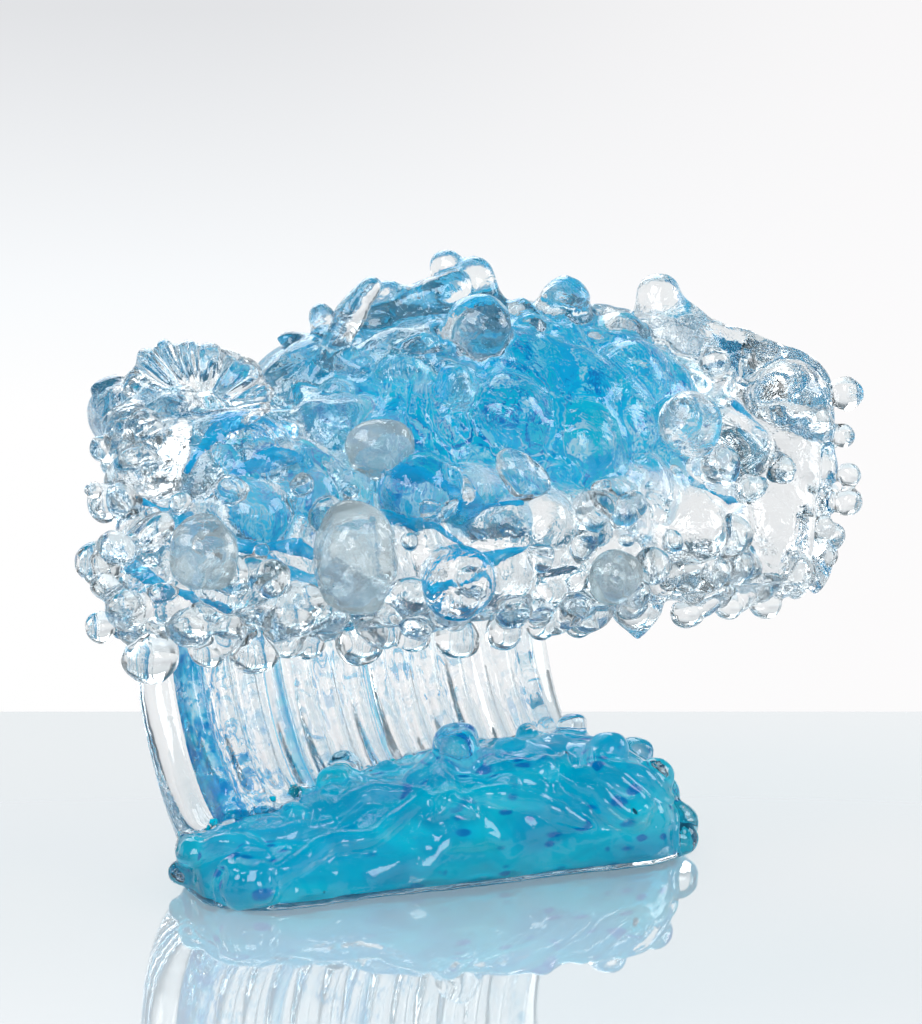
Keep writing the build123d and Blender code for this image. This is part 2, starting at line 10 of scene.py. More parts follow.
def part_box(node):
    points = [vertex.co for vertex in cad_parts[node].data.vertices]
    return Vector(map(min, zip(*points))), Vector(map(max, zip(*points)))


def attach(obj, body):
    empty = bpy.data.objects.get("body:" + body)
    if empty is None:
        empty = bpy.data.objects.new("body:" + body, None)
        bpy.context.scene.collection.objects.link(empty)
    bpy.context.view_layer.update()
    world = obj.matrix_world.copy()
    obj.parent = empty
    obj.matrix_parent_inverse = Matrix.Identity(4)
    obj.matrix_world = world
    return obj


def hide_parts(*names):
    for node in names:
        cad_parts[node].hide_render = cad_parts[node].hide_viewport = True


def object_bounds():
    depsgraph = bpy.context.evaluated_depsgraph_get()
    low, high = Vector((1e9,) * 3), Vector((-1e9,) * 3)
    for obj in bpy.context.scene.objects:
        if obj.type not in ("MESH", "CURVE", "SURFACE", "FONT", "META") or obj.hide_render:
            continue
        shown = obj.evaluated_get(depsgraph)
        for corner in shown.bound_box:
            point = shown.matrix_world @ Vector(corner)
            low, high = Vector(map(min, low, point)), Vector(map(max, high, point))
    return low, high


bl_info = {
    "name": "Glass Wave",
    "version": (1, 0, 0),
    "blender": (4, 5, 0),
    "location": "3D View > Sidebar > Glass Wave",
    "description": "Dresses the packed glass wave and lights it for a studio picture",
    "category": "Object",
}

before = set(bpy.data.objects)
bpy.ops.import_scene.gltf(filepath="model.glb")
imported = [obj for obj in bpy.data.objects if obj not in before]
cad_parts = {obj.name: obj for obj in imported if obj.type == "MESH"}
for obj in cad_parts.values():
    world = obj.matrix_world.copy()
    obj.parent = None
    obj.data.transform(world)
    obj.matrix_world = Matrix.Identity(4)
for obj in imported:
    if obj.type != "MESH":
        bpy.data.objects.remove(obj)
cad_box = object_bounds()

MM = 0.001
PICTURE = (922, 1024)  # the picture's width and height in pixels
LENS_PIXELS = 2778.0  # the lens's focal length in pixels of that picture
SENSOR = 36.0  # the camera's sensor in millimetres

UPWARD = Vector((0, 0, 1))
RIGHTWARD = Vector((1, 0, 0))

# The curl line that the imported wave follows, an ellipse seen from its end, and a length past all of it
CURL_BACK = 5 * MM
CURL_HEIGHT = 88 * MM
CURL_OUTSIDE = 0.2

# Where a sight line that misses a skin looks for the place nearest to it: from the lens, by steps
SEARCH_START = 0.8
SEARCH_STEP = 0.008
SEARCH_STEPS = 60

# The saddle in the crest's top behind the fan: its middle, its reach to the left and to the right,
# its depth, and the heights between which it sets in
SADDLE_X = -62 * MM
SADDLE_LEFT = 26 * MM
SADDLE_RIGHT = 17 * MM
SADDLE_DEPTH = 18 * MM
SADDLE_HEIGHTS = (135 * MM, 177 * MM)


# Camera


def camera_axes(settings):
    """The camera's place, and the ways that point to its right, up and forward."""
    turn = settings.camera_turn
    rise = settings.camera_rise
    forward = Vector((math.sin(turn) * math.cos(rise), math.cos(turn) * math.cos(rise), -math.sin(rise)))
    right = forward.cross(UPWARD).normalized()
    up = right.cross(forward)
    place = Vector(settings.camera_target) - forward * settings.camera_distance
    return place, right, up, forward


def sight(x, y):
    """The camera's place and the way to a pixel of the picture."""
    place, right, up, forward = camera_axes(bpy.context.scene.glass_wave_stage)
    across = (x - PICTURE[0] / 2) / LENS_PIXELS
    above = (PICTURE[1] / 2 - y) / LENS_PIXELS
    return place, (forward + right * across + up * above).normalized()


def pixel_size(place):
    """The width of one pixel of the picture at a place."""
    eye, _, _, forward = camera_axes(bpy.context.scene.glass_wave_stage)
    return (place - eye).dot(forward) / LENS_PIXELS


# Shaping


def copied(*nodes):
    """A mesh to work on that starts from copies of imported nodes, each with its doubles merged."""
    bm = bmesh.new()
    for node in nodes:
        first = len(bm.verts)
        bm.from_mesh(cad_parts[node].data)
        bm.verts.ensure_lookup_table()
        bmesh.ops.remove_doubles(bm, verts=bm.verts[first:], dist=0.005 * MM)
    return bm


def skin_of(*nodes):
    """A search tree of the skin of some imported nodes."""
    bm = copied(*nodes)
    tree = BVHTree.FromBMesh(bm)
    bm.free()
    return tree


def spot(skin, x, y):
    """Where the sight line of a pixel meets a skin, or comes nearest to it, and the way out of it."""
    eye, way = sight(x, y)
    place, out, _, _ = skin.ray_cast(eye, way)
    if place is None:
        best = None
        for k in range(SEARCH_STEPS):
            found = skin.find_nearest(eye + way * (SEARCH_START + SEARCH_STEP * k))
            if best is None or found[3] < best[3]:
                best = found
        place, out = best[0], best[1]
    if out.dot(way) > 0:
        out = -out
    return place, out


def laid(skin, path):
    """What lies on a skin along a path drawn on the picture: places, ways out and radii."""
    found = []
    for x, y, half in path:
        place, out = spot(skin, x, y)
        found.append((place, out, half * pixel_size(place)))
    return found


def outer_spot(skin, x, angle):
    """The place on the wave's outer skin at an X and an angle round the curl, and the way out of it."""
    way = Vector((0, math.cos(angle), math.sin(angle)))
    place, out, _, _ = skin.ray_cast(Vector((x, CURL_BACK, CURL_HEIGHT)) + way * CURL_OUTSIDE, -way)
    return place, out


def inner_spot(skin, x, angle):
    """The place on the wave's hollow side at an X and an angle round the curl, and the way out of it."""
    way = Vector((0, math.cos(angle), math.sin(angle)))
    place, out, _, _ = skin.ray_cast(Vector((x, CURL_BACK, CURL_HEIGHT)), way)
    return place, out


def level_with(node, x, y):
    """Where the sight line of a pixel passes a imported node's middle, in a plane that faces the camera."""
    eye, way = sight(x, y)
    _, _, _, forward = camera_axes(bpy.context.scene.glass_wave_stage)
    low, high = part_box(node)
    return eye + way * (((low + high) / 2 - eye).dot(forward) / way.dot(forward))


def eased(value, start, end):
    """A smooth rise from 0 to 1 while a number goes from start to end."""
    t = min(max((value - start) / (end - start), 0), 1)
    return t * t * (3 - 2 * t)


def settled(bm):
    """Lets the crest's top sink behind the fan, where the picture has a saddle."""
    for vert in bm.verts:
        x = vert.co.x - SADDLE_X
        reach = SADDLE_LEFT if x < 0 else SADDLE_RIGHT
        vert.co.z -= SADDLE_DEPTH * math.exp(-((x / reach) ** 2)) * eased(vert.co.z, *SADDLE_HEIGHTS)


def turned_to(out, along):
    """A turn that takes Z to the way out and X as near as it can to the way along."""
    z = out.normalized()
    x = (along - z * along.dot(z)).normalized()
    y = z.cross(x)
    return Matrix((x, y, z)).transposed().to_4x4()


def unit_ball(detail):
    """A ball of radius 1, made once for each fineness."""
    name = f"unit_ball_{detail}"
    mesh = bpy.data.meshes.get(name)
    if mesh is None:
        bm = bmesh.new()
        bmesh.ops.create_icosphere(bm, subdivisions=detail, radius=1)
        mesh = bpy.data.meshes.new(name)
        mesh.use_fake_user = True
        bm.to_mesh(mesh)
        bm.free()
    return mesh


def lump(bm, place, out, along, sizes, detail=3):
    """Adds a round lump: its half sizes along, across and out of the skin."""
    ball = unit_ball(detail).copy()
    ball.transform(Matrix.Translation(place) @ turned_to(out, along) @ Matrix.Diagonal((*sizes, 1)))
    bm.from_mesh(ball)
    bpy.data.meshes.remove(ball)


def trails(bm, threads):
    """Adds drawn threads of glass, each a row of places and radii, as round closed tubes."""
    curve = bpy.data.curves.new("threads", "CURVE")
    curve.dimensions = "3D"
    curve.bevel_depth = 1.0
    curve.bevel_resolution = 3
    curve.resolution_u = 4
    curve.use_fill_caps = True
    for stations in threads:
        line = curve.splines.new("NURBS")
        line.points.add(len(stations) - 1)
        for point, (place, radius) in zip(line.points, stations):
            point.co = (*place, 1)
            point.radius = radius
        line.order_u = 3
        line.use_endpoint_u = True
    piece = bpy.data.objects.new("threads", curve)
    bpy.context.scene.collection.objects.link(piece)
    mesh = bpy.data.meshes.new_from_object(piece.evaluated_get(bpy.context.evaluated_depsgraph_get()))
    bm.from_mesh(mesh)
    bpy.data.objects.remove(piece)
    bpy.data.curves.remove(curve)
    bpy.data.meshes.remove(mesh)
    for place, radius in (end for stations in threads for end in (stations[0], stations[-1])):
        lump(bm, place, UPWARD, RIGHTWARD, (radius,) * 3, 2)


def melted(bm, grain, rounds):
    """Runs overlapping closed shapes together into one skin of a grain, and softens it in rounds."""
    mesh = bpy.data.meshes.new("melt")
    bm.to_mesh(mesh)
    bm.free()
    piece = bpy.data.objects.new("melt", mesh)
    bpy.context.scene.collection.objects.link(piece)
    remesh = piece.modifiers.new("Remesh", "REMESH")
    remesh.mode = "VOXEL"
    remesh.voxel_size = grain
    seen = piece.evaluated_get(bpy.context.evaluated_depsgraph_get())
    fused = bpy.data.meshes.new_from_object(seen)
    bpy.data.objects.remove(piece)
    bpy.data.meshes.remove(mesh)
    bm = bmesh.new()
    bm.from_mesh(fused)
    bpy.data.meshes.remove(fused)
    soften(bm, rounds)
    return bm


def soften(bm, rounds):
    """Smooths a skin a number of times."""
    axes = {"use_axis_x": True, "use_axis_y": True, "use_axis_z": True}
    for _ in range(rounds):
        bmesh.ops.smooth_vert(bm, verts=bm.verts, factor=0.5, **axes)


def sunk(bm, depth):
    """Draws a skin in by a depth."""
    bm.normal_update()
    for vert in bm.verts:
        vert.co -= vert.normal * depth


def rippled(bm, waves, level=-math.inf):
    """Moves a skin above a level in and out by layers of smooth noise, each a wavelength and a height."""
    bm.normal_update()
    moves = []
    for vert in bm.verts:
        rise = 0.0
        for length, height in waves:
            rise += height * noise.noise(vert.co / length)
        moves.append(vert.normal * rise)
    for vert, move in zip(bm.verts, moves):
        if vert.co.z > level:
            vert.co += move


def kept_inside(bm, margin=0.2 * MM):
    """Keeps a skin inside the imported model's box and above the table."""
    low = cad_box[0] + Vector((margin,) * 3)
    high = cad_box[1] - Vector((margin,) * 3)
    low.z = 0.0
    for vert in bm.verts:
        vert.co = Vector(min(max(value, least), most) for value, least, most in zip(vert.co, low, high))


def finished(bm, name, material, nodes):
    """Makes a mesh a piece of the wave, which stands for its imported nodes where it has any."""
    kept_inside(bm)
    bmesh.ops.recalc_face_normals(bm, faces=bm.faces)
    mesh = bpy.data.meshes.new(name)
    bm.to_mesh(mesh)
    bm.free()
    mesh.shade_smooth()
    mesh.materials.append(material)
    piece = bpy.data.objects.new(name, mesh)
    bpy.context.scene.collection.objects.link(piece)
    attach(piece, "root")
    if nodes:
        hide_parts(*nodes)
    return piece


# Materials


# Colours that stay: pale streaks in the crest, thin white lines in it that are painted light, dark seeds in
# the pool, and bubbles
PALE_STREAK = (0.3, 0.74, 0.9, 1)
PAINTED_LIGHT_LINE = (0.62, 0.86, 0.93, 1)
DARK_SEED = (0.01, 0.02, 0.05, 1)
DIM_BUBBLE = (0.55, 0.66, 0.7, 1)


class Term:
    """A node's socket that can stand in a sum."""

    def __init__(self, recipe, socket):
        self.recipe = recipe
        self.socket = socket

    def __add__(self, other):
        return self.recipe.math("ADD", self, other)

    def __radd__(self, other):
        return self.recipe.math("ADD", other, self)

    def __sub__(self, other):
        return self.recipe.math("SUBTRACT", self, other)

    def __rsub__(self, other):
        return self.recipe.math("SUBTRACT", other, self)

    def __mul__(self, other):
        return self.recipe.math("MULTIPLY", self, other)

    def __rmul__(self, other):
        return self.recipe.math("MULTIPLY", other, self)


class Recipe:
    """The node tree of a material or of the world."""

    def __init__(self, owner):
        owner.use_nodes = True
        self.owner = owner
        self.tree = owner.node_tree
        self.tree.nodes.clear()

    def node(self, kind, settings=None, inputs=None, output=0):
        """Adds a node with its settings and what its sockets take, and gives one of its outputs."""
        made = self.tree.nodes.new(kind)
        for key, value in (settings or {}).items():
            if key == "stops":
                self.set_stops(made.color_ramp, value)
            else:
                setattr(made, key, value)
        for key, value in (inputs or {}).items():
            socket = self.find(made.inputs, key)
            if isinstance(value, Term):
                self.tree.links.new(value.socket, socket)
            else:
                socket.default_value = value
        return Term(self, self.find(made.outputs, output)) if made.outputs else None

    @staticmethod
    def find(sockets, key):
        """A socket by its place in the row, its identifier or its name."""
        if isinstance(key, int):
            return sockets[key]
        return next((s for s in sockets if s.identifier == key), None) or sockets[key]

    @staticmethod
    def set_stops(ramp, stops):
        """Gives a ramp its stops, each a place from 0 to 1 and a colour."""
        while len(ramp.elements) < len(stops):
            ramp.elements.new(0.5)
        for element, (place, colour) in zip(ramp.elements, stops):
            element.position = place
            element.color = colour

    def math(self, operation, *terms):
        """A number worked out from one or two others."""
        return self.node("ShaderNodeMath", {"operation": operation}, dict(enumerate(terms)))

    def place(self, scale=(1, 1, 1)):
        """The place on the piece, with each axis stretched or squeezed."""
        at = self.node("ShaderNodeTexCoord", output="Object")
        return self.node("ShaderNodeMapping", None, {"Vector": at, "Scale": scale})

    def part(self, vector, axis):
        """A vector's X, Y or Z, by the axis's number from 0."""
        return self.node("ShaderNodeSeparateXYZ", None, {"Vector": vector}, axis)

    def noise(self, vector, scale, detail=2.0, distortion=0.0):
        """Soft noise from 0 to 1."""
        inputs = {"Vector": vector, "Scale": scale, "Detail": detail, "Distortion": distortion}
        return self.node("ShaderNodeTexNoise", None, inputs)

    def cells(self, vector, scale):
        """Distance to the nearest of many scattered points."""
        return self.node("ShaderNodeTexVoronoi", None, {"Vector": vector, "Scale": scale})

    def between(self, value, low, high, start=0.0, end=1.0):
        """A smooth change from start to end while the value goes from low to high."""
        inputs = {"Value": value, "From Min": low, "From Max": high, "To Min": start, "To Max": end}
        return self.node("ShaderNodeMapRange", {"interpolation_type": "SMOOTHSTEP"}, inputs)

    def mixed(self, factor, first, second):
        """A colour between two."""
        inputs = {"Factor_Float": factor, "A_Color": first, "B_Color": second}
        return self.node("ShaderNodeMix", {"data_type": "RGBA"}, inputs, "Result_Color")

    def bump(self, height, distance, strength=1.0, under=None):
        """A normal that follows a height, on top of another normal where there is one."""
        inputs = {"Height": height, "Distance": distance, "Strength": strength}
        if under is not None:
            inputs["Normal"] = under
        return self.node("ShaderNodeBump", None, inputs)

    def surface(self, shader):
        """Ends the tree in a shader, and gives the material or world that it belongs to."""
        world = isinstance(self.owner, bpy.types.World)
        kind = "ShaderNodeOutputWorld" if world else "ShaderNodeOutputMaterial"
        self.node(kind, None, {"Surface": shader})
        return self.owner

    def glass(self, shade, inputs):
        """Ends a material in glass that lamps shine through: a shadow ray passes it, dimmed by a shade."""
        shader = self.node("ShaderNodeBsdfPrincipled", None, inputs)
        shadow = self.node("ShaderNodeLightPath", output="Is Shadow Ray")
        clear = self.node("ShaderNodeBsdfTransparent", None, {"Color": shade})
        return self.surface(self.node("ShaderNodeMixShader", None, {0: shadow, 1: shader, 2: clear}))


def colour(settings, name):
    """One of the glass's colours, opaque."""
    return (*getattr(settings, name), 1.0)


def glass_material(name, tint, wave_height, wave_length=7 * MM, cloud=0.0, swirl=0.6):
    """Clear fire-polished glass: slow ripples, fine seeds and a breath of cloud."""
    r = Recipe(bpy.data.materials.new(name))
    place = r.place()
    slow = r.noise(place, 1 / wave_length, 2.0, swirl)
    fine = r.noise(place, 3.1 / wave_length, 2.0, swirl * 0.5)
    seed = r.between(r.cells(place, 420), 0.10, 0.16)
    grain = r.between(r.noise(place, 60), 0.55, 0.75)
    pits = 1 - (1 - seed) * grain * 0.5
    misty = r.between(r.noise(place, 55, 4.0, 1.2), 0.4, 0.7)
    return r.glass((0.86, 0.93, 0.95, 1), {
        "Base Color": r.mixed(r.noise(place, 30, 3.0, 1.0), tint, (1, 1, 1, 1)),
        "Roughness": misty * cloud + (1 - pits) * 0.25 + 0.004,
        "IOR": 1.5,
        "Transmission Weight": 1.0,
        "Normal": r.bump(pits, 0.15 * MM, 0.6, r.bump(slow + fine * 0.25, wave_height)),
    })


def drop_material(settings):
    """Glass clouded by small bubbles, as in the big drops."""
    r = Recipe(bpy.data.materials.new("cloudy_glass"))
    place = r.place()
    bubbles = r.between(r.cells(place, 480), 0.16, 0.36)
    larger = r.between(r.cells(place, 260), 0.08, 0.14)
    pits = bubbles * larger
    misty = r.between(r.noise(place, 90, 5.0, 1.0), 0.35, 0.7)
    waves = r.bump(r.noise(place, 110, 3.0, 0.5), 0.4 * MM)
    return r.glass((0.8, 0.88, 0.9, 1), {
        "Base Color": r.mixed(1 - (1 - pits) * 0.5, DIM_BUBBLE, colour(settings, "cloudy")),
        "Roughness": misty * 0.12 + (1 - pits) * 0.15 + 0.03,
        "IOR": 1.48,
        "Transmission Weight": 0.8,
        "Normal": r.bump(pits, 0.08 * MM, 0.5, waves),
    })


def crest_colour_material(settings):
    """The crest's coloured heart: aqua in the middle, thin streaks and clear glass at its ends."""
    r = Recipe(bpy.data.materials.new("crest_colour"))
    flow = r.place(scale=(1.0, 0.45, 0.45))
    place = r.place()
    drift = r.noise(place, 22, 3.0, 1.5) - 0.5
    along = r.part(place, 0) + drift * 0.05
    height = r.part(place, 2) + drift * 0.03

    # Where the heart has colour, by metres along the wave and above the table
    middle = r.between(along, -0.055, -0.015) * (1 - r.between(along, 0.064, 0.078))
    low = r.between(height, 0.118, 0.138)
    clear_top = r.between(height, 0.15, 0.162) * (1 - r.between(along, 0.0, 0.022))
    vivid = middle * low * (1 - clear_top * 0.85)
    left = r.between(along, -0.11, -0.085) * (1 - r.between(along, -0.05, 0.0))
    left = left * r.between(height, 0.1, 0.13)
    streak = r.between(r.noise(flow, 75, 4.0, 2.5), 0.5, 0.62)
    strength = r.math("MAXIMUM", vivid, left * (streak * 0.65 + 0.08))
    strength = r.math("MAXIMUM", strength, streak * 0.3)

    swirl = r.noise(flow, 48, 4.0, 3.0)
    body = r.mixed(r.between(swirl, 0.35, 0.62), colour(settings, "aqua"), colour(settings, "lagoon"))
    fine = r.between(r.noise(flow, 165, 5.0, 3.5), 0.46, 0.56)
    body = r.mixed(fine * 0.65, body, colour(settings, "sky"))
    pale = r.between(r.noise(flow, 90, 5.0, 3.5), 0.55, 0.64)
    body = r.mixed(pale * 0.75, body, PALE_STREAK)
    deep = r.between(r.noise(flow, 120, 5.0, 4.0), 0.56, 0.62)
    body = r.mixed(deep * 0.85, body, colour(settings, "cobalt"))
    # Thin white lines along the swirl: painted light that stands in for the bright lines of light in the
    # heart
    light_line = r.math("ABSOLUTE", swirl - 0.5)
    body = r.mixed((1 - r.between(light_line, 0.004, 0.02)) * 0.75, body, PAINTED_LIGHT_LINE)
    return r.glass((0.7, 0.92, 0.97, 1), {
        "Base Color": body,
        "Roughness": 0.3,
        "IOR": 1.1,
        "Transmission Weight": 0.18,
        "Alpha": strength,
        "Normal": r.bump(swirl + r.noise(place, 160, 3.0, 1.0) * 0.3, 1.2 * MM),
    })


def ribbon_material(settings):
    """Thin azure ribbons drawn out in the clear glass."""
    r = Recipe(bpy.data.materials.new("azure_ribbon"))
    flow = r.place(scale=(0.5, 1.0, 1.0))
    shade = r.noise(flow, 120, 3.0, 1.0)
    return r.glass((0.8, 0.95, 1.0, 1), {
        "Base Color": r.mixed(shade, colour(settings, "aqua"), colour(settings, "sky")),
        "Roughness": 0.3,
        "IOR": 1.05,
        "Transmission Weight": 0.4,
        "Alpha": r.between(r.noise(flow, 150, 4.0, 2.0), 0.3, 0.6, 0.15, 0.9),
    })


def frit_material(settings):
    """The wall's coloured sheet: blue frit drawn into streaks along the ribs, clear between them."""
    r = Recipe(bpy.data.materials.new("blue_frit"))
    place = r.place()
    flow = r.place(scale=(1.0, 0.45, 0.5))
    x = r.part(place, 0)
    drift = r.noise(flow, 70, 3.0, 1.0) - 0.5

    # Flecks in clumps, thicker near the left edge
    clump = r.between(r.noise(flow, 26, 2.0, 0.6), 0.45, 0.65)
    fleck = r.between(r.noise(flow, 230, 5.0, 1.2), 0.54, 0.62)
    small = r.between(r.noise(flow, 520, 4.0, 0.8), 0.54, 0.62)
    near_left = 1 - r.between(x, -0.055, -0.03)
    amount = fleck * (clump * 0.75 + near_left * 0.5 + 0.1)
    amount = amount + small * (near_left * 0.7 + clump * 0.25)

    # A band at each edge, and two thin lines between them
    left_band = 1 - r.between(x + drift * 0.012, -0.061, -0.055)
    left_band = left_band * r.between(r.noise(flow, 120, 4.0, 1.5), 0.3, 0.6, 0.3, 1.0)
    right_band = r.between(x + drift * 0.008, 0.061, 0.066)
    first = r.math("ABSOLUTE", x + drift * 0.003 + 0.031)
    second = r.math("ABSOLUTE", x + drift * 0.003 - 0.002)
    lines = (1 - r.between(first, 0.0006, 0.0016)) + (1 - r.between(second, 0.0004, 0.0013))
    alpha = amount * 0.8 + left_band * 0.8 + right_band * 0.55 + lines * 0.55

    shade = r.between(r.noise(place, 160, 2.0), 0.4, 0.65)
    body = r.mixed(shade, colour(settings, "aqua"), colour(settings, "sky"))
    return r.glass((0.8, 0.92, 1.0, 1), {
        "Base Color": r.mixed(amount * 0.5, body, colour(settings, "cobalt")),
        "Roughness": 0.3,
        "IOR": 1.05,
        "Transmission Weight": 0.4,
        "Alpha": r.math("MINIMUM", alpha, 0.9),
    })


def pool_colour_material(settings):
    """The pool's heart: aqua glass with cobalt specks and a few dark ones, and painted light that lightens
    its foot.
    """
    r = Recipe(bpy.data.materials.new("pool_colour"))
    place = r.place()
    flow = r.place(scale=(0.45, 1.0, 1.0))
    light = r.between(r.noise(flow, 40, 4.0, 1.5), 0.35, 0.7)
    body = r.mixed(light, colour(settings, "pool_deep"), colour(settings, "pool_light"))
    drift = r.noise(place, 90, 3.0, 1.0) - 0.5
    patch = r.between(r.noise(place, 30, 2.0), 0.36, 0.52)
    dash = 1 - r.between(r.cells(flow, 210) + drift * 0.6, 0.18, 0.32)
    body = r.mixed(dash * patch * 0.85, body, colour(settings, "cobalt"))
    seed = 1 - r.between(r.cells(place, 46), 0.035, 0.05)
    body = r.mixed(seed * 0.9, body, DARK_SEED)
    # Painted light: the bottom few millimetres are made lighter, as where light from the table comes up
    # through the glass
    floor_light = 1 - r.between(r.part(place, 2), 0.001, 0.006)
    return r.glass((0.5, 0.85, 0.9, 1), {
        "Base Color": r.mixed(floor_light * 0.3, body, colour(settings, "pool_light")),
        "Roughness": 0.3,
        "IOR": 1.1,
        "Transmission Weight": 0.3,
    })


# Settings


def tone(label, text, value):
    """A colour that a user may change."""
    return bpy.props.FloatVectorProperty(
        name=label, description=text, subtype="COLOR", size=3, min=0.0, max=1.0, default=value
    )


def length(label, text, value):
    """A length that a user may change."""
    return bpy.props.FloatProperty(name=label, description=text, default=value, unit="LENGTH")


def angle(label, text, degrees):
    """An angle that a user may change."""
    value = math.radians(degrees)
    return bpy.props.FloatProperty(name=label, description=text, default=value, subtype="ANGLE")


def number(label, text, value, least=0):
    """A whole number that a user may change."""
    return bpy.props.IntProperty(name=label, description=text, default=value, min=least)


class GlassWaveGlass(bpy.types.PropertyGroup):
    """Colours and grain of the wave's glass."""

    clear: tone("Clear", "Tint of the clear glass", (0.835, 0.88, 0.892))
    # A darker copy of the clear tint: painted shade that makes the crest and its beads greyer than the rest
    # of the glass
    crest_shaded_clear: tone("Crest clear", "Tint of the crest's glass", (0.775, 0.825, 0.84))
    cloudy: tone("Cloudy", "Tint of the drops' clouded glass", (0.68, 0.76, 0.79))
    aqua: tone("Aqua", "Light colour in the crest's heart", (0.0, 0.56, 0.86))
    lagoon: tone("Lagoon", "Greener light colour in the crest's heart", (0.0, 0.56, 0.76))
    sky: tone("Sky blue", "Middle blue of the streaks", (0.0, 0.36, 0.76))
    cobalt: tone("Cobalt", "Dark blue of the specks", (0.0, 0.16, 0.55))
    pool_deep: tone("Deep pool", "Deep colour of the pool", (0.0, 0.46, 0.7))
    pool_light: tone("Light pool", "Light colour of the pool", (0.0, 0.74, 0.9))
    rib_count: number("Ribs", "Optic ribs of the wall", 14, 3)
    crest_grain: length("Crest grain", "Voxel size of the crest's skin", 1.15 * MM)
    pool_grain: length("Pool grain", "Voxel size of the pool's skin", 0.8 * MM)
    pleat_count: number("Pleats", "Pleats in a full turn of the fan", 15)
    pleat_height: length("Pleat height", "How far the fan's pleats rise and dip", 1.0 * MM)
    lump_count: number("Lumps", "Small lumps strewn on the crest", 150)
    thread_count: number("Threads", "Threads trailed on the crest", 34)
    seed: number("Seed", "Seed of all that is strewn", 5)


class GlassWaveStage(bpy.types.PropertyGroup):
    """Camera, table and light."""

    camera_target: bpy.props.FloatVectorProperty(
        name="Camera target",
        description="What the picture's middle shows",
        size=3,
        unit="LENGTH",
        default=(57 * MM, 102 * MM, 100 * MM),
    )
    camera_distance: length("Camera distance", "From the lens to the target", 1.0)
    camera_turn: angle("Camera turn", "How far the view swings from straight back", 24)
    camera_rise: angle("Camera rise", "How far the camera looks down", 8)
    table_edge: length("Table edge", "From below the camera to the table's back edge", 1.115)


# Pieces


# The coloured sheet's half width down at the pool, how much further its left and right edge reach
# where it has fanned out, and the angle round the curl where it has
SHEET_HALF = 65
SHEET_FAN = (17, 38)
SHEET_FANNED = 95

# Angles round the curl, in degrees, at which a rib of the wall has its stations, and its radius
# and how much that differs from rib to rib, in millimetres
RIB_ANGLES = range(-74, 62, 8)
RIB_RADIUS = 2.6
RIB_UNEVEN = 0.5

# How deep the coloured glass of the wall and of the pool lies under the skin of its solid
FRIT_DEPTH = 1.6 * MM
HEART_DEPTH = 1.8 * MM


def wall_reach(degrees):
    """The coloured sheet's left and right edge at an angle round the curl."""
    fan = eased(degrees, 0, SHEET_FANNED)
    return -(SHEET_HALF + SHEET_FAN[0] * fan) * MM, (SHEET_HALF + SHEET_FAN[1] * fan) * MM


class GLASSWAVE_OT_wall(bpy.types.Operator):
    """Builds the wave's wall: the clear ribbed casing and the frit sheet inside it"""

    bl_idname = "glasswave.wall"
    bl_label = "Wall"

    def execute(self, context):
        settings = context.scene.glass_wave_glass
        bm = copied("wall_casing", "wall_sheet")
        skin = skin_of("wall_sheet")
        trails(bm, [self.rib(skin, k, settings.rib_count) for k in range(settings.rib_count)])
        bm = melted(bm, 1.15 * MM, 7)
        rippled(bm, ((26 * MM, 0.5 * MM),))
        clear = glass_material("wall_glass", colour(settings, "clear"), 0.12 * MM, 14 * MM)
        finished(bm, "wall_glass", clear, ("wall_casing",))

        bm = melted(copied("wall_sheet"), 1.2 * MM, 6)
        sunk(bm, FRIT_DEPTH)
        finished(bm, "frit_sheet", frit_material(settings), ("wall_sheet",))
        return {"FINISHED"}

    def rib(self, skin, k, count):
        """The stations of one rib, up along the wall's hollow side."""
        radius = (RIB_RADIUS + RIB_UNEVEN * math.sin(2.1 * k)) * MM
        stations = []
        for degrees in RIB_ANGLES:
            left, right = wall_reach(degrees)
            x = left + (right - left) * (k + 0.5) / count
            place, out = inner_spot(skin, x, math.radians(degrees))
            if place is not None:
                stations.append((place + out * 0.4 * MM, radius))
        return stations


# Lumps of the crest by the picture: pixel across and down, half width in pixels, stretch, turn in
# degrees, and half height as a share of the half width
CREST_LUMPS = (
    (150, 540, 27, 1.05, 0, 0.8),
    (355, 555, 34, 1.3, 85, 0.7),
    (290, 480, 30, 1.7, -25, 0.6),
    (230, 450, 42, 1.5, 15, 0.6),
    (250, 400, 34, 1.6, 10, 0.6),
    (205, 480, 24, 1.4, 80, 0.7),
    (390, 350, 26, 1.5, 60, 0.7),
    (345, 420, 26, 1.7, 40, 0.7),
    (385, 437, 26, 1.2, 10, 0.7),
    (550, 370, 45, 1.3, -30, 0.5),
    (600, 400, 50, 1.4, -50, 0.5),
    (560, 430, 34, 1.3, 0, 0.5),
    (650, 370, 34, 1.6, -50, 0.5),
    (505, 525, 28, 1.2, -10, 0.7),
    (455, 578, 28, 1.1, 0, 0.7),
    (500, 485, 22, 1.9, 0, 0.8),
    (590, 527, 17, 1.3, 0, 0.8),
    (655, 500, 26, 1.3, 30, 0.7),
    (720, 490, 30, 1.5, 60, 0.7),
    (730, 540, 32, 1.4, 75, 0.7),
    (690, 540, 24, 1.6, 90, 0.7),
    (770, 480, 22, 1.5, 90, 0.8),
    (760, 380, 34, 1.4, -20, 0.7),
    (700, 350, 28, 1.5, -30, 0.7),
    (790, 425, 34, 1.1, 0, 0.7),
    (800, 500, 20, 1.8, 90, 0.8),
    (240, 580, 34, 1.3, 0, 0.7),
    (300, 610, 26, 1.3, 0, 0.8),
    (420, 620, 22, 1.3, 0, 0.8),
    (165, 600, 24, 1.2, 0, 0.8),
    (540, 600, 20, 1.3, 0, 0.8),
    (125, 430, 20, 1.6, 90, 0.8),
    (135, 480, 20, 1.3, 90, 0.8),
)

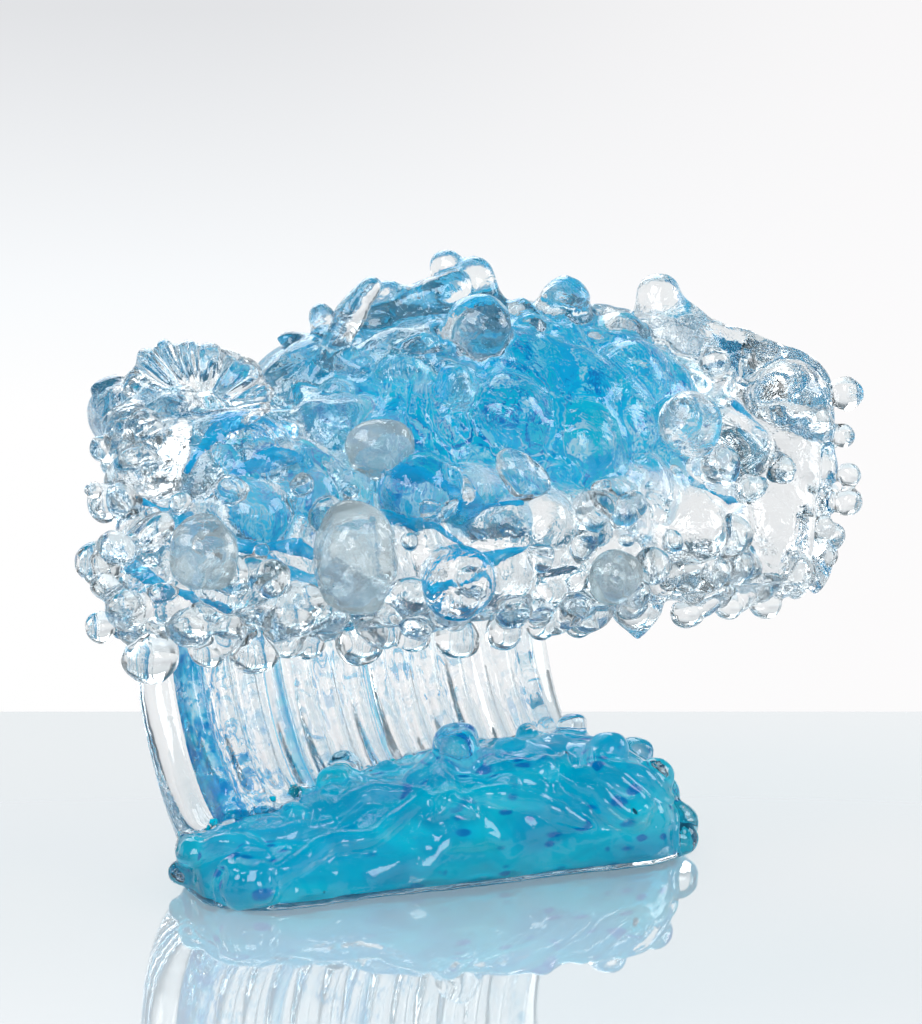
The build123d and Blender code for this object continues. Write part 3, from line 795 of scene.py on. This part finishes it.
# Nodes copied into the crest as they are, and those drawn anew in their places
CREST_COPIED = (
    "crest", "shoulder_ball", "end_ball", "folded_cone", "face_drip", "rim_drip", "cup_drop",
    "right_curtain", "left_mounds", "middle_mounds", "right_mounds",
)
CREST_DRAWN = (
    "summit_peak", "summit_knob", "summit_ball", "right_ball", "small_ball", "right_finger",
    "frosted_nub", "looped_finger", "face_curl", "leaning_band",
)
CREST_NODES = CREST_COPIED + CREST_DRAWN

# Drawn bits of the crest: the node whose place they take, then pixels across and down and half
# widths in pixels, from the foot up
CREST_THREADS = (
    ("right_finger", (672, 345, 40), (668, 330, 34), (662, 312, 27), (660, 300, 25), (659, 293, 24)),
    ("right_finger", (700, 338, 22), (688, 318, 13), (680, 306, 11)),
    ("summit_peak", (452, 300, 26), (450, 280, 17), (447, 266, 19), (447, 264, 19)),
    ("summit_knob", (482, 312, 30), (478, 292, 22), (473, 281, 24), (472, 278, 24)),
    ("frosted_nub", (326, 360, 20), (324, 338, 15), (323, 320, 16), (323, 318, 16)),
    ("looped_finger", (345, 375, 20), (352, 335, 17), (366, 304, 16), (386, 292, 16), (408, 300, 13),
        (424, 322, 12)),
    ("leaning_band", (308, 396, 13), (322, 368, 14), (340, 334, 13), (356, 302, 12), (372, 286, 10)),
    ("looped_finger", (392, 318, 14), (408, 312, 12), (424, 304, 12), (440, 292, 14)),
    ("summit_ball", (470, 372, 26), (474, 352, 30), (478, 332, 37), (478, 330, 37)),
    ("summit_ball", (466, 392, 16), (465, 405, 13), (466, 418, 9)),
    ("right_ball", (548, 342, 24), (556, 325, 25), (564, 311, 31), (565, 309, 31)),
    ("small_ball", (522, 345, 16), (528, 332, 15), (530, 325, 15)),
    ("right_curtain", (705, 346, 24), (745, 352, 20), (785, 364, 17), (812, 378, 19), (826, 408, 14),
        (822, 440, 12)),
    ("looped_finger", (318, 392, 22), (340, 350, 22), (362, 320, 20), (392, 312, 20), (430, 300, 24),
        (452, 290, 22)),
    ("summit_knob", (490, 330, 26), (505, 318, 22), (520, 322, 18)),
    ("face_curl", (402, 380, 8), (398, 356, 9), (410, 338, 9), (430, 338, 9), (440, 356, 8), (428, 376, 7)),
)

# Balls at the crest's ends: the node at whose depth each sits, its pixel and half width
CREST_BALLS = (
    ("end_ball", 848, 392, 19),
    ("end_ball", 843, 437, 13),
    ("end_ball", 848, 474, 12),
    ("end_ball", 846, 502, 14),
    ("end_ball", 834, 536, 14),
    ("end_ball", 797, 424, 35),
    ("right_curtain", 760, 372, 28),
    ("right_curtain", 720, 362, 24),
    ("right_curtain", 792, 388, 20),
    ("right_curtain", 812, 470, 26),
    ("right_curtain", 806, 530, 24),
    ("right_curtain", 786, 565, 20),
    ("left_ball", 93, 490, 13),
    ("left_ball", 116, 548, 18),
    ("left_ball", 104, 585, 14),
    ("left_ball", 127, 611, 22),
    ("left_ball", 100, 562, 11),
    ("left_fan", 118, 428, 19),
    ("left_fan", 113, 462, 17),
    ("left_fan", 128, 500, 18),
)

# Azure ribbons under the crest's skin: pixels across and down, and half widths in pixels
CREST_RIBBONS = (
    ((128, 497, 4), (165, 515, 8), (205, 533, 9), (250, 540, 9), (300, 545, 8), (335, 560, 5)),
    ((225, 545, 6), (270, 565, 10), (310, 580, 8), (335, 592, 4)),
    ((130, 560, 5), (150, 585, 8), (190, 600, 7), (230, 605, 4)),
    ((330, 520, 4), (380, 510, 7), (430, 520, 7), (465, 545, 4)),
    ((430, 600, 4), (470, 590, 7), (500, 560, 7), (530, 545, 4)),
    ((385, 470, 4), (430, 480, 7), (470, 500, 7), (520, 505, 4)),
    ((690, 480, 3), (720, 500, 5), (755, 505, 3)),
    ((735, 400, 4), (745, 420, 6), (756, 442, 4)),
    ((190, 470, 4), (205, 440, 6), (240, 425, 6), (280, 432, 4)),
    ((205, 500, 4), (225, 470, 6), (262, 455, 6), (300, 462, 4)),
)

# Long folds laid over the crest's face: pixels across and down, and half widths in pixels
CREST_FOLDS = (
    ((168, 470, 10), (190, 440, 14), (230, 425, 16), (275, 420, 14), (320, 430, 11)),
    ((180, 520, 9), (215, 500, 13), (262, 495, 15), (310, 500, 14), (345, 515, 9)),
    ((250, 470, 9), (285, 455, 14), (325, 465, 15), (350, 490, 10)),
    ((395, 380, 9), (392, 420, 12), (372, 470, 14), (352, 505, 10)),
    ((515, 350, 9), (500, 400, 12), (480, 440, 12), (470, 470, 9)),
    ((560, 335, 10), (545, 385, 11), (560, 440, 10), (600, 455, 9)),
    ((590, 335, 9), (630, 350, 12), (655, 385, 12), (668, 430, 9)),
    ((520, 470, 9), (560, 468, 12), (605, 478, 13), (650, 478, 9)),
    ((400, 505, 9), (430, 530, 13), (425, 570, 14), (445, 600, 10)),
    ((470, 520, 9), (500, 550, 12), (540, 562, 13), (585, 560, 9)),
    ((610, 500, 8), (640, 530, 12), (690, 560, 13), (740, 570, 9)),
    ((700, 440, 9), (740, 450, 12), (765, 490, 13), (770, 540, 10)),
    ((735, 345, 10), (775, 358, 14), (815, 372, 14), (835, 390, 10)),
    ((815, 380, 10), (822, 430, 14), (820, 480, 14), (815, 540, 12), (800, 580, 9)),
    ((120, 420, 10), (118, 460, 13), (128, 500, 13), (150, 520, 10)),
    ((275, 380, 9), (300, 395, 12), (330, 410, 12), (360, 405, 9)),
)

# Where small lumps are strewn on the crest, and their shapes: metres along the wave, degrees round
# the curl, half widths in millimetres, stretch, and half height as a share of the half width
LUMP_X = (-0.118, 0.122)
LUMP_ANGLES = (82, 174)
LUMP_SIZES = (2.2, 5.5)
LUMP_STRETCH = (1.0, 1.9)
LUMP_RISE = (0.6, 1.0)

# Where threads start on the crest, how far they run round the curl, how far they stray and bend
# along the wave, their radii in millimetres, and the angle past which none goes
THREAD_X = (-0.105, 0.115)
THREAD_STARTS = (80, 135)
THREAD_RUNS = (18, 48)
THREAD_SWING = (-26, 26)
THREAD_BEND = (-9, 9)
THREAD_RADII = (1.3, 2.6)
THREAD_STATIONS = 9
THREAD_END = 175


class GLASSWAVE_OT_crest(bpy.types.Operator):
    """Builds the crest: one melted mass of clear glass, its ribbons and its coloured heart"""

    bl_idname = "glasswave.crest"
    bl_label = "Crest"

    def execute(self, context):
        settings = context.scene.glass_wave_glass
        bm = copied("crest")
        settled(bm)
        skin = BVHTree.FromBMesh(bm)
        bm.free()
        _, right, up, _ = camera_axes(context.scene.glass_wave_stage)
        bm = copied(*CREST_COPIED, "crest_sheet")
        settled(bm)
        folds = [
            [(place + out * size * 0.1, size) for place, out, size in laid(skin, path)]
            for path in CREST_FOLDS
        ]
        trails(bm, self.drawn_bits() + folds)
        for node, x, y, half in CREST_BALLS:
            place = level_with(node, x, y)
            lump(bm, place, UPWARD, RIGHTWARD, (half * pixel_size(place),) * 3)
        for x, y, half, stretch, turn, rise in CREST_LUMPS:
            place, out = spot(skin, x, y)
            size = half * pixel_size(place)
            along = right * math.cos(math.radians(turn)) + up * math.sin(math.radians(turn))
            lump(bm, place, out, along, (size * stretch, size, size * rise))
        draw = random.Random(settings.seed)
        self.strew_lumps(bm, skin, draw, settings.lump_count)
        self.trail_threads(bm, skin, draw, settings.thread_count)
        bm = melted(bm, settings.crest_grain, 4)
        rippled(bm, ((17 * MM, 1.6 * MM), (8 * MM, 0.9 * MM)))
        soften(bm, 2)
        # The crest's darker tint is painted shade, which makes its glass greyer than the wall's and the
        # pool's
        tint = colour(settings, "crest_shaded_clear")
        clear = glass_material("crest_glass", tint, 0.6 * MM, 8.5 * MM, cloud=0.02, swirl=1.5)
        finished(bm, "crest_glass", clear, CREST_NODES)

        bm = bmesh.new()
        ribbons = [
            [(place - out * (size + 1.5 * MM), size) for place, out, size in laid(skin, path)]
            for path in CREST_RIBBONS
        ]
        trails(bm, ribbons)
        bm = melted(bm, 0.7 * MM, 3)
        rippled(bm, ((12 * MM, 1.5 * MM), (5 * MM, 0.8 * MM)))
        finished(bm, "azure_ribbons", ribbon_material(settings), ())

        bm = copied("crest_sheet")
        settled(bm)
        bm = melted(bm, 1.3 * MM, 4)
        rippled(bm, ((30 * MM, 5 * MM), (12 * MM, 2.5 * MM)))
        finished(bm, "crest_heart", crest_colour_material(settings), ("crest_sheet",))
        return {"FINISHED"}

    def drawn_bits(self):
        """The stations of the drawn fingers, knobs and bands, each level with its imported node."""
        bits = []
        for node, *path in CREST_THREADS:
            stations = []
            for x, y, half in path:
                place = level_with(node, x, y)
                stations.append((place, half * pixel_size(place)))
            bits.append(stations)
        return bits

    def strew_lumps(self, bm, skin, draw, count):
        """Small lumps all over the crest's face."""
        for _ in range(count):
            x = draw.uniform(*LUMP_X)
            angle = math.radians(draw.uniform(*LUMP_ANGLES))
            place, out = outer_spot(skin, x, angle)
            if place is None:
                continue
            size = draw.uniform(*LUMP_SIZES) * MM
            turn = draw.uniform(0, math.pi)
            along = Vector((math.cos(turn), 0, math.sin(turn)))
            stretch = draw.uniform(*LUMP_STRETCH)
            sizes = (size * stretch, size, size * draw.uniform(*LUMP_RISE))
            lump(bm, place + out * size * 0.2, out, along, sizes, 2)

    def trail_threads(self, bm, skin, draw, count):
        """Threads that run down the face and bend as they go."""
        threads = []
        for _ in range(count):
            x = draw.uniform(*THREAD_X)
            start = draw.uniform(*THREAD_STARTS)
            length = draw.uniform(*THREAD_RUNS)
            swing = draw.uniform(*THREAD_SWING) * MM
            bend = draw.uniform(*THREAD_BEND) * MM
            radius = draw.uniform(*THREAD_RADII) * MM
            stations = []
            for k in range(THREAD_STATIONS):
                t = k / (THREAD_STATIONS - 1)
                angle = math.radians(min(start + length * t, THREAD_END))
                place, out = outer_spot(skin, x + swing * t + bend * math.sin(math.pi * t), angle)
                if place is None:
                    break
                thickness = radius * (0.55 + 0.45 * math.sin(math.pi * t))
                stations.append((place + out * radius * 0.4, thickness))
            if len(stations) > 3:
                threads.append(stations)
        trails(bm, threads)


class GLASSWAVE_OT_drops(bpy.types.Operator):
    """Builds the drops that keep their own skin: the great drop, the lens and the frosted balls"""

    bl_idname = "glasswave.drops"
    bl_label = "Drops"

    def execute(self, context):
        settings = context.scene.glass_wave_glass
        cloudy = drop_material(settings)
        for node in ("great_drop", "frosted_ball", "left_ball", "lens_drop"):
            low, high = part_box(node)
            bm = bmesh.new()
            lump(bm, (low + high) / 2, UPWARD, RIGHTWARD, (high - low) / 2, 5)
            rippled(bm, ((11 * MM, 2.4 * MM), (4 * MM, 0.4 * MM)))
            finished(bm, node + "_glass", cloudy, (node,))
        return {"FINISHED"}


# The fan by the picture: the pixel where its pleats meet, how far from there they set in, how much
# they crowd, and its lobes: pixel, half width, half height and half depth in pixels
FAN_ROOT = (204, 412)
PLEAT_START = (2 * MM, 18 * MM)
PLEAT_CROWDING = 0.18
FAN_LOBES = (
    (170, 386, 44, 46, 24),
    (196, 378, 34, 38, 26),
    (228, 385, 34, 38, 24),
    (248, 396, 26, 28, 20),
    (136, 410, 18, 34, 20),
    (196, 408, 56, 24, 26),
)


class GLASSWAVE_OT_fan(bpy.types.Operator):
    """Builds the pleated fan at the left shoulder"""

    bl_idname = "glasswave.fan"
    bl_label = "Fan"

    def execute(self, context):
        settings = context.scene.glass_wave_glass
        _, right, up, forward = camera_axes(context.scene.glass_wave_stage)
        bm = bmesh.new()
        for x, y, half_width, half_height, half_depth in FAN_LOBES:
            place = level_with("left_fan", x, y)
            pixel = pixel_size(place)
            sizes = (half_width * pixel, half_height * pixel, half_depth * pixel)
            lump(bm, place, -forward, right, sizes, 4)
        bm = melted(bm, 0.7 * MM, 5)
        bm.normal_update()
        root = level_with("left_fan", *FAN_ROOT)
        for vert in bm.verts:
            across = (vert.co - root).dot(right)
            above = (vert.co - root).dot(up)
            turn = math.atan2(above, across)
            far = eased(math.hypot(across, above), *PLEAT_START)
            turn += PLEAT_CROWDING * math.sin(3 * turn)
            vert.co += vert.normal * far * settings.pleat_height * math.cos(settings.pleat_count * turn)
        soften(bm, 7)
        clear = glass_material("fan_glass", colour(settings, "clear"), 0.15 * MM)
        finished(bm, "fan_glass", clear, ("left_fan",))
        return {"FINISHED"}


# Bead nodes, each with the number of small beads strewn among its packed ones, and where: metres
# along the wave and degrees round the curl
BEAD_NODES = (
    ("left_rim_beads", 26, (-0.118, -0.045), (168, 175.5)),
    ("middle_rim_beads", 26, (-0.045, 0.03), (168, 175.5)),
    ("right_rim_beads", 26, (0.03, 0.108), (166, 175.5)),
    ("left_end_beads", 22, (-0.118, -0.1), (110, 174)),
    ("right_end_beads", 18, (0.1, 0.124), (90, 172)),
    ("face_beads", 30, (-0.1, 0.1), (140, 172)),
)

# Half widths of the strewn beads and how far one hangs below the rim at most, in millimetres, and
# their stretch
BEAD_SIZES = (1.6, 6.2)
BEAD_SAG = 2.5
BEAD_STRETCH = (1, 1.6)


class GLASSWAVE_OT_beads(bpy.types.Operator):
    """Builds the foam beads along the rim, at the ends and on the face"""

    bl_idname = "glasswave.beads"
    bl_label = "Beads"

    def execute(self, context):
        settings = context.scene.glass_wave_glass
        # The beads take the crest's darker tint, painted shade as on the crest
        clear = glass_material("bead_glass", colour(settings, "crest_shaded_clear"), 0.15 * MM, cloud=0.05)
        draw = random.Random(settings.seed + 1)
        skin = skin_of("crest")
        for node, count, x_range, angle_range in BEAD_NODES:
            bm = copied(node)
            for _ in range(count):
                x = draw.uniform(*x_range)
                angle = math.radians(draw.uniform(*angle_range))
                place, out = outer_spot(skin, x, angle)
                if place is None:
                    continue
                size = draw.uniform(*BEAD_SIZES) * MM
                drop = Vector((0, 0, -draw.uniform(0, BEAD_SAG) * MM)) if "rim" in node else Vector()
                turn = draw.uniform(0, math.pi)
                along = Vector((math.cos(turn), math.sin(turn), 0))
                sizes = (size * draw.uniform(*BEAD_STRETCH), size, size)
                lump(bm, place + out * size * 0.1 + drop, out, along, sizes)
            bm = melted(bm, 0.6 * MM, 4)
            rippled(bm, ((11 * MM, 1.4 * MM), (5 * MM, 0.4 * MM)))
            finished(bm, node + "_glass", clear, (node,))
        return {"FINISHED"}


POOL_NODES = (
    "pool", "tall_splash", "left_splash", "right_splash", "end_splash", "foot_drop", "end_bulb",
    "pool_beads",
)

# Ripples on the pool by the picture: pixels across and down along each, and its half width
POOL_RIPPLES = (
    ((222, 903), (221, 886), (230, 870), (248, 858), (268, 856), 13),
    ((252, 902), (266, 886), (296, 866), (328, 845), (357, 846), (386, 830), (412, 806), (440, 796), 13),
    ((438, 816), (467, 796), (506, 797), (539, 802), (560, 818), (590, 827), 13),
    ((565, 756), (563, 772), (572, 788), (598, 794), (608, 812), (640, 824), (688, 824), 13),
    ((322, 822), (350, 800), (390, 793), (425, 797), 15),
    ((480, 775), (510, 770), (540, 775), (562, 762), 15),
    ((600, 765), (628, 775), (655, 790), (668, 800), 15),
    ((235, 850), (265, 838), (300, 836), (330, 826), 15),
    ((345, 770), (362, 790), (352, 812), (330, 822), 13),
    ((455, 745), (440, 775), (450, 800), (470, 812), 15),
    ((480, 750), (492, 770), (520, 782), (545, 790), 13),
    ((188, 868), (210, 850), (238, 846), (262, 850), 15),
    ((600, 742), (590, 760), (600, 778), (630, 790), (650, 806), 13),
    ((640, 770), (662, 776), (674, 792), (680, 812), 15),
    ((392, 800), (420, 780), (436, 765), (450, 760), 13),
)

# Knobs on the pool by the picture: pixel, half width, and height as a share of it
POOL_KNOBS = (
    (345, 776, 15, 1.4),
    (332, 800, 14, 0.9),
    (462, 768, 19, 1.7),
    (448, 800, 14, 0.9),
    (540, 772, 14, 1.0),
    (610, 752, 17, 1.0),
    (655, 780, 17, 1.0),
    (640, 808, 11, 0.8),
    (272, 832, 18, 0.8),
    (325, 812, 16, 0.8),
    (240, 886, 16, 1.3),
    (262, 878, 13, 1.1),
    (196, 852, 17, 0.8),
    (185, 872, 14, 0.8),
    (682, 838, 14, 1.0),
    (580, 780, 13, 0.9),
    (505, 785, 12, 0.8),
)
KNOB_SWELL = 1.25  # how much wider a knob is made, because its foot sinks into the pool

# Soft waves of the pool's skin, each a wavelength and a height, the level above which it has them,
# and the sharper ones of its splashes, with theirs
POOL_WAVES = ((15 * MM, 0.8 * MM), (7 * MM, 0.5 * MM))
POOL_WAVE_LEVEL = 3 * MM
SPLASH_WAVES = ((9 * MM, 1.4 * MM),)
SPLASH_WAVE_LEVEL = 13 * MM


class GLASSWAVE_OT_pool(bpy.types.Operator):
    """Builds the pool: its clear skin with ripples and splashes, and its aqua heart"""

    bl_idname = "glasswave.pool"
    bl_label = "Pool"

    def execute(self, context):
        settings = context.scene.glass_wave_glass
        skin = skin_of("pool")
        bm = copied(*POOL_NODES)
        trails(bm, [self.ripple(skin, path, half) for *path, half in POOL_RIPPLES])
        for x, y, half, rise in POOL_KNOBS:
            place, _ = spot(skin, x, y)
            size = half * pixel_size(place) * KNOB_SWELL
            lump(bm, place, UPWARD, RIGHTWARD, (size, size, size * rise))
        bm = melted(bm, settings.pool_grain, 4)
        rippled(bm, POOL_WAVES, POOL_WAVE_LEVEL)
        rippled(bm, SPLASH_WAVES, SPLASH_WAVE_LEVEL)
        soften(bm, 1)
        clear = glass_material("pool_skin", colour(settings, "clear"), 0.2 * MM)
        finished(bm, "pool_skin", clear, POOL_NODES[1:])

        bm = melted(copied("pool"), 1.0 * MM, 16)
        rippled(bm, POOL_WAVES, POOL_WAVE_LEVEL)
        sunk(bm, HEART_DEPTH)
        finished(bm, "pool_heart", pool_colour_material(settings), ("pool",))
        return {"FINISHED"}

    def ripple(self, skin, path, half):
        """The stations of one ripple, thick in its middle and thin at its ends."""
        stations = []
        for k, (x, y) in enumerate(path):
            place, out = spot(skin, x, y)
            share = 0.45 + 0.55 * math.sin(math.pi * k / (len(path) - 1))
            stations.append((place + out * 0.8 * MM, half * pixel_size(place) * share))
        return stations


# Stage


# Soft lamps round the wave: name, place and width in metres, and power in watts
LAMPS = (
    ("key_softbox", (-0.75, -0.55, 0.95), 0.7, 10.0),
    ("fill_softbox", (0.95, -0.35, 0.6), 0.6, 6.0),
    ("front_softbox", (-0.2, -1.3, 0.55), 0.5, 5.0),
    ("back_softbox", (0.1, 0.9, 0.9), 0.9, 8.0),
)
LAMP_AIM = Vector((0, 0, 0.1))

# The table: its half width, how far it reaches behind the camera, and how low it lies below the foot
TABLE_HALF_WIDTH = 4.0
TABLE_BEHIND = 2.5
TABLE_DEPTH = 0.05 * MM

# The room's shades by height, from straight down at 0 to straight up at 1
ROOM_SHADES = (
    (0.0, (1.0, 1.0, 1.0, 1)),
    (0.45, (1.0, 1.0, 1.0, 1)),
    (0.47, (0.95, 0.97, 0.99, 1)),
    (0.52, (0.76, 0.77, 0.79, 1)),
    (0.6, (0.85, 0.87, 0.88, 1)),
    (0.66, (0.72, 0.74, 0.76, 1)),
    (0.71, (0.24, 0.27, 0.29, 1)),
    (1.0, (0.1, 0.12, 0.13, 1)),
)
ROOM_WHITE = (0.97, 0.96, 0.965, 1)
FLAG_SHADE = (0.08, 0.1, 0.115, 1)
FLAG_COUNT = 8


class GLASSWAVE_OT_stage(bpy.types.Operator):
    """Sets out the table, the lamps, the room round them and the camera"""

    bl_idname = "glasswave.stage"
    bl_label = "Stage"

    def execute(self, context):
        stage = context.scene.glass_wave_stage
        place, right, up, forward = camera_axes(stage)
        self.add_table(place, right, stage.table_edge)
        for lamp in LAMPS:
            self.add_lamp(*lamp)
        self.add_world(context.scene, stage.camera_turn)
        self.add_camera(context.scene, place, right, up, forward)
        cycles = context.scene.cycles
        cycles.max_bounces = 18
        cycles.transmission_bounces = 18
        cycles.glossy_bounces = 8
        cycles.diffuse_bounces = 3
        cycles.transparent_max_bounces = 24
        cycles.caustics_reflective = False
        cycles.caustics_refractive = False
        context.scene.view_settings.view_transform = "Standard"
        return {"FINISHED"}

    def add_table(self, place, right, edge):
        """A level table under the camera and the wave, up to its back edge."""
        bm = bmesh.new()
        bmesh.ops.create_grid(bm, x_segments=1, y_segments=1, size=1)
        matrix = Matrix.Translation((place.x, place.y, 0)) @ turned_to(UPWARD, right)
        middle = (edge - TABLE_BEHIND) / 2
        half = (edge + TABLE_BEHIND) / 2
        for vert in bm.verts:
            vert.co = matrix @ Vector((vert.co.x * TABLE_HALF_WIDTH, middle + vert.co.y * half, 0))
            vert.co.z = -TABLE_DEPTH
        mesh = bpy.data.meshes.new("table")
        bm.to_mesh(mesh)
        bm.free()
        mesh.materials.append(self.table_material())
        plane = bpy.data.objects.new("table", mesh)
        bpy.context.scene.collection.objects.link(plane)

    def table_material(self):
        """A pale polished table, matt from above and a mirror at a glance."""
        r = Recipe(bpy.data.materials.new("pale_table"))
        place = r.place()
        smear = r.between(r.noise(place, 6, 4.0, 1.0), 0.3, 0.8)
        base = r.mixed(r.noise(place, 2.5, 2.0), (0.86, 0.89, 0.91, 1), (0.92, 0.93, 0.935, 1))
        matt = r.node("ShaderNodeBsdfPrincipled", None, {"Base Color": base, "Roughness": 0.5, "IOR": 1.3})
        mirror = r.node("ShaderNodeBsdfPrincipled", None, {
            "Base Color": (0.93, 0.95, 0.96, 1),
            "Roughness": smear * 0.015 + 0.01,
            "Metallic": 1.0,
        })
        facing = r.node("ShaderNodeLayerWeight", None, {"Blend": 0.5}, "Facing")
        glance = r.between(facing, 0.45, 0.88, 0.04, 0.9)
        return r.surface(r.node("ShaderNodeMixShader", None, {0: glance, 1: matt, 2: mirror}))

    def add_lamp(self, name, place, size, power):
        """A square soft lamp that faces the wave."""
        light = bpy.data.lights.new(name, "AREA")
        light.shape = "SQUARE"
        light.size = size
        light.energy = power
        lamp = bpy.data.objects.new(name, light)
        lamp.location = place
        lamp.rotation_euler = (LAMP_AIM - Vector(place)).to_track_quat("-Z", "Y").to_euler()
        bpy.context.scene.collection.objects.link(lamp)

    def add_world(self, scene, ahead):
        """A room that is white round the horizon, with dark flags between the views, and dims overhead."""
        r = Recipe(bpy.data.worlds.new("studio"))
        way = r.node("ShaderNodeTexCoord", output="Generated")
        height = r.part(way, 2)
        azimuth = r.math("ARCTAN2", r.part(way, 1), r.part(way, 0))
        turn = azimuth - (math.pi / 2 - ahead)
        shade = r.node("ShaderNodeValToRGB", {"stops": ROOM_SHADES}, {"Fac": height * 0.5 + 0.5})
        side = r.between(r.math("SINE", turn), -0.17, 0.12, 1.0, 0.0)
        low = 1 - r.between(height, 0.1, 0.3)
        shade = r.mixed(side * low * 0.85, shade, ROOM_WHITE)
        wave = r.math("COSINE", (azimuth - math.pi / 2) * FLAG_COUNT)
        seen = r.between(r.math("COSINE", turn), 0.91, 0.96)
        flag = r.between(wave, -0.8, -0.1, 1.0, 0.0) * (1 - seen) * r.between(height, 0.02, 0.1)
        shade = r.mixed(flag * 0.88, shade, FLAG_SHADE)
        scene.world = r.surface(r.node("ShaderNodeBackground", None, {"Color": shade, "Strength": 1.0}))

    def add_camera(self, scene, place, right, up, forward):
        """A camera that sees what the picture shows."""
        camera_data = bpy.data.cameras.new("camera")
        camera_data.sensor_fit = "VERTICAL"
        camera_data.sensor_height = SENSOR
        camera_data.sensor_width = SENSOR
        camera_data.lens = LENS_PIXELS * SENSOR / PICTURE[1]
        camera_data.clip_end = 20.0
        camera = bpy.data.objects.new("camera", camera_data)
        turn = Matrix((right, up, -forward)).transposed().to_4x4()
        camera.matrix_world = Matrix.Translation(place) @ turn
        scene.collection.objects.link(camera)
        scene.camera = camera


class GLASSWAVE_PT_panel(bpy.types.Panel):
    """Lists the wave's pieces and settings."""

    bl_label = "Glass Wave"
    bl_idname = "GLASSWAVE_PT_panel"
    bl_space_type = "VIEW_3D"
    bl_region_type = "UI"
    bl_category = "Glass Wave"

    def draw(self, context):
        layout = self.layout
        for group in (context.scene.glass_wave_glass, context.scene.glass_wave_stage):
            for name in group.bl_rna.properties.keys():
                if name not in ("rna_type", "name"):
                    layout.prop(group, name)
        for operator in OPERATORS:
            layout.operator(operator.bl_idname)


OPERATORS = (
    GLASSWAVE_OT_stage,
    GLASSWAVE_OT_wall,
    GLASSWAVE_OT_crest,
    GLASSWAVE_OT_drops,
    GLASSWAVE_OT_fan,
    GLASSWAVE_OT_beads,
    GLASSWAVE_OT_pool,
)
CLASSES = (GlassWaveGlass, GlassWaveStage, *OPERATORS, GLASSWAVE_PT_panel)


def register():
    for cls in CLASSES:
        bpy.utils.register_class(cls)
    bpy.types.Scene.glass_wave_glass = bpy.props.PointerProperty(type=GlassWaveGlass)
    bpy.types.Scene.glass_wave_stage = bpy.props.PointerProperty(type=GlassWaveStage)


def unregister():
    del bpy.types.Scene.glass_wave_stage
    del bpy.types.Scene.glass_wave_glass
    for cls in reversed(CLASSES):
        bpy.utils.unregister_class(cls)


def main():
    """Builds the wave and its stage."""
    register()
    bpy.ops.glasswave.stage()
    bpy.ops.glasswave.wall()
    bpy.ops.glasswave.crest()
    bpy.ops.glasswave.drops()
    bpy.ops.glasswave.fan()
    bpy.ops.glasswave.beads()
    bpy.ops.glasswave.pool()


if __name__ == "__main__":
    main()
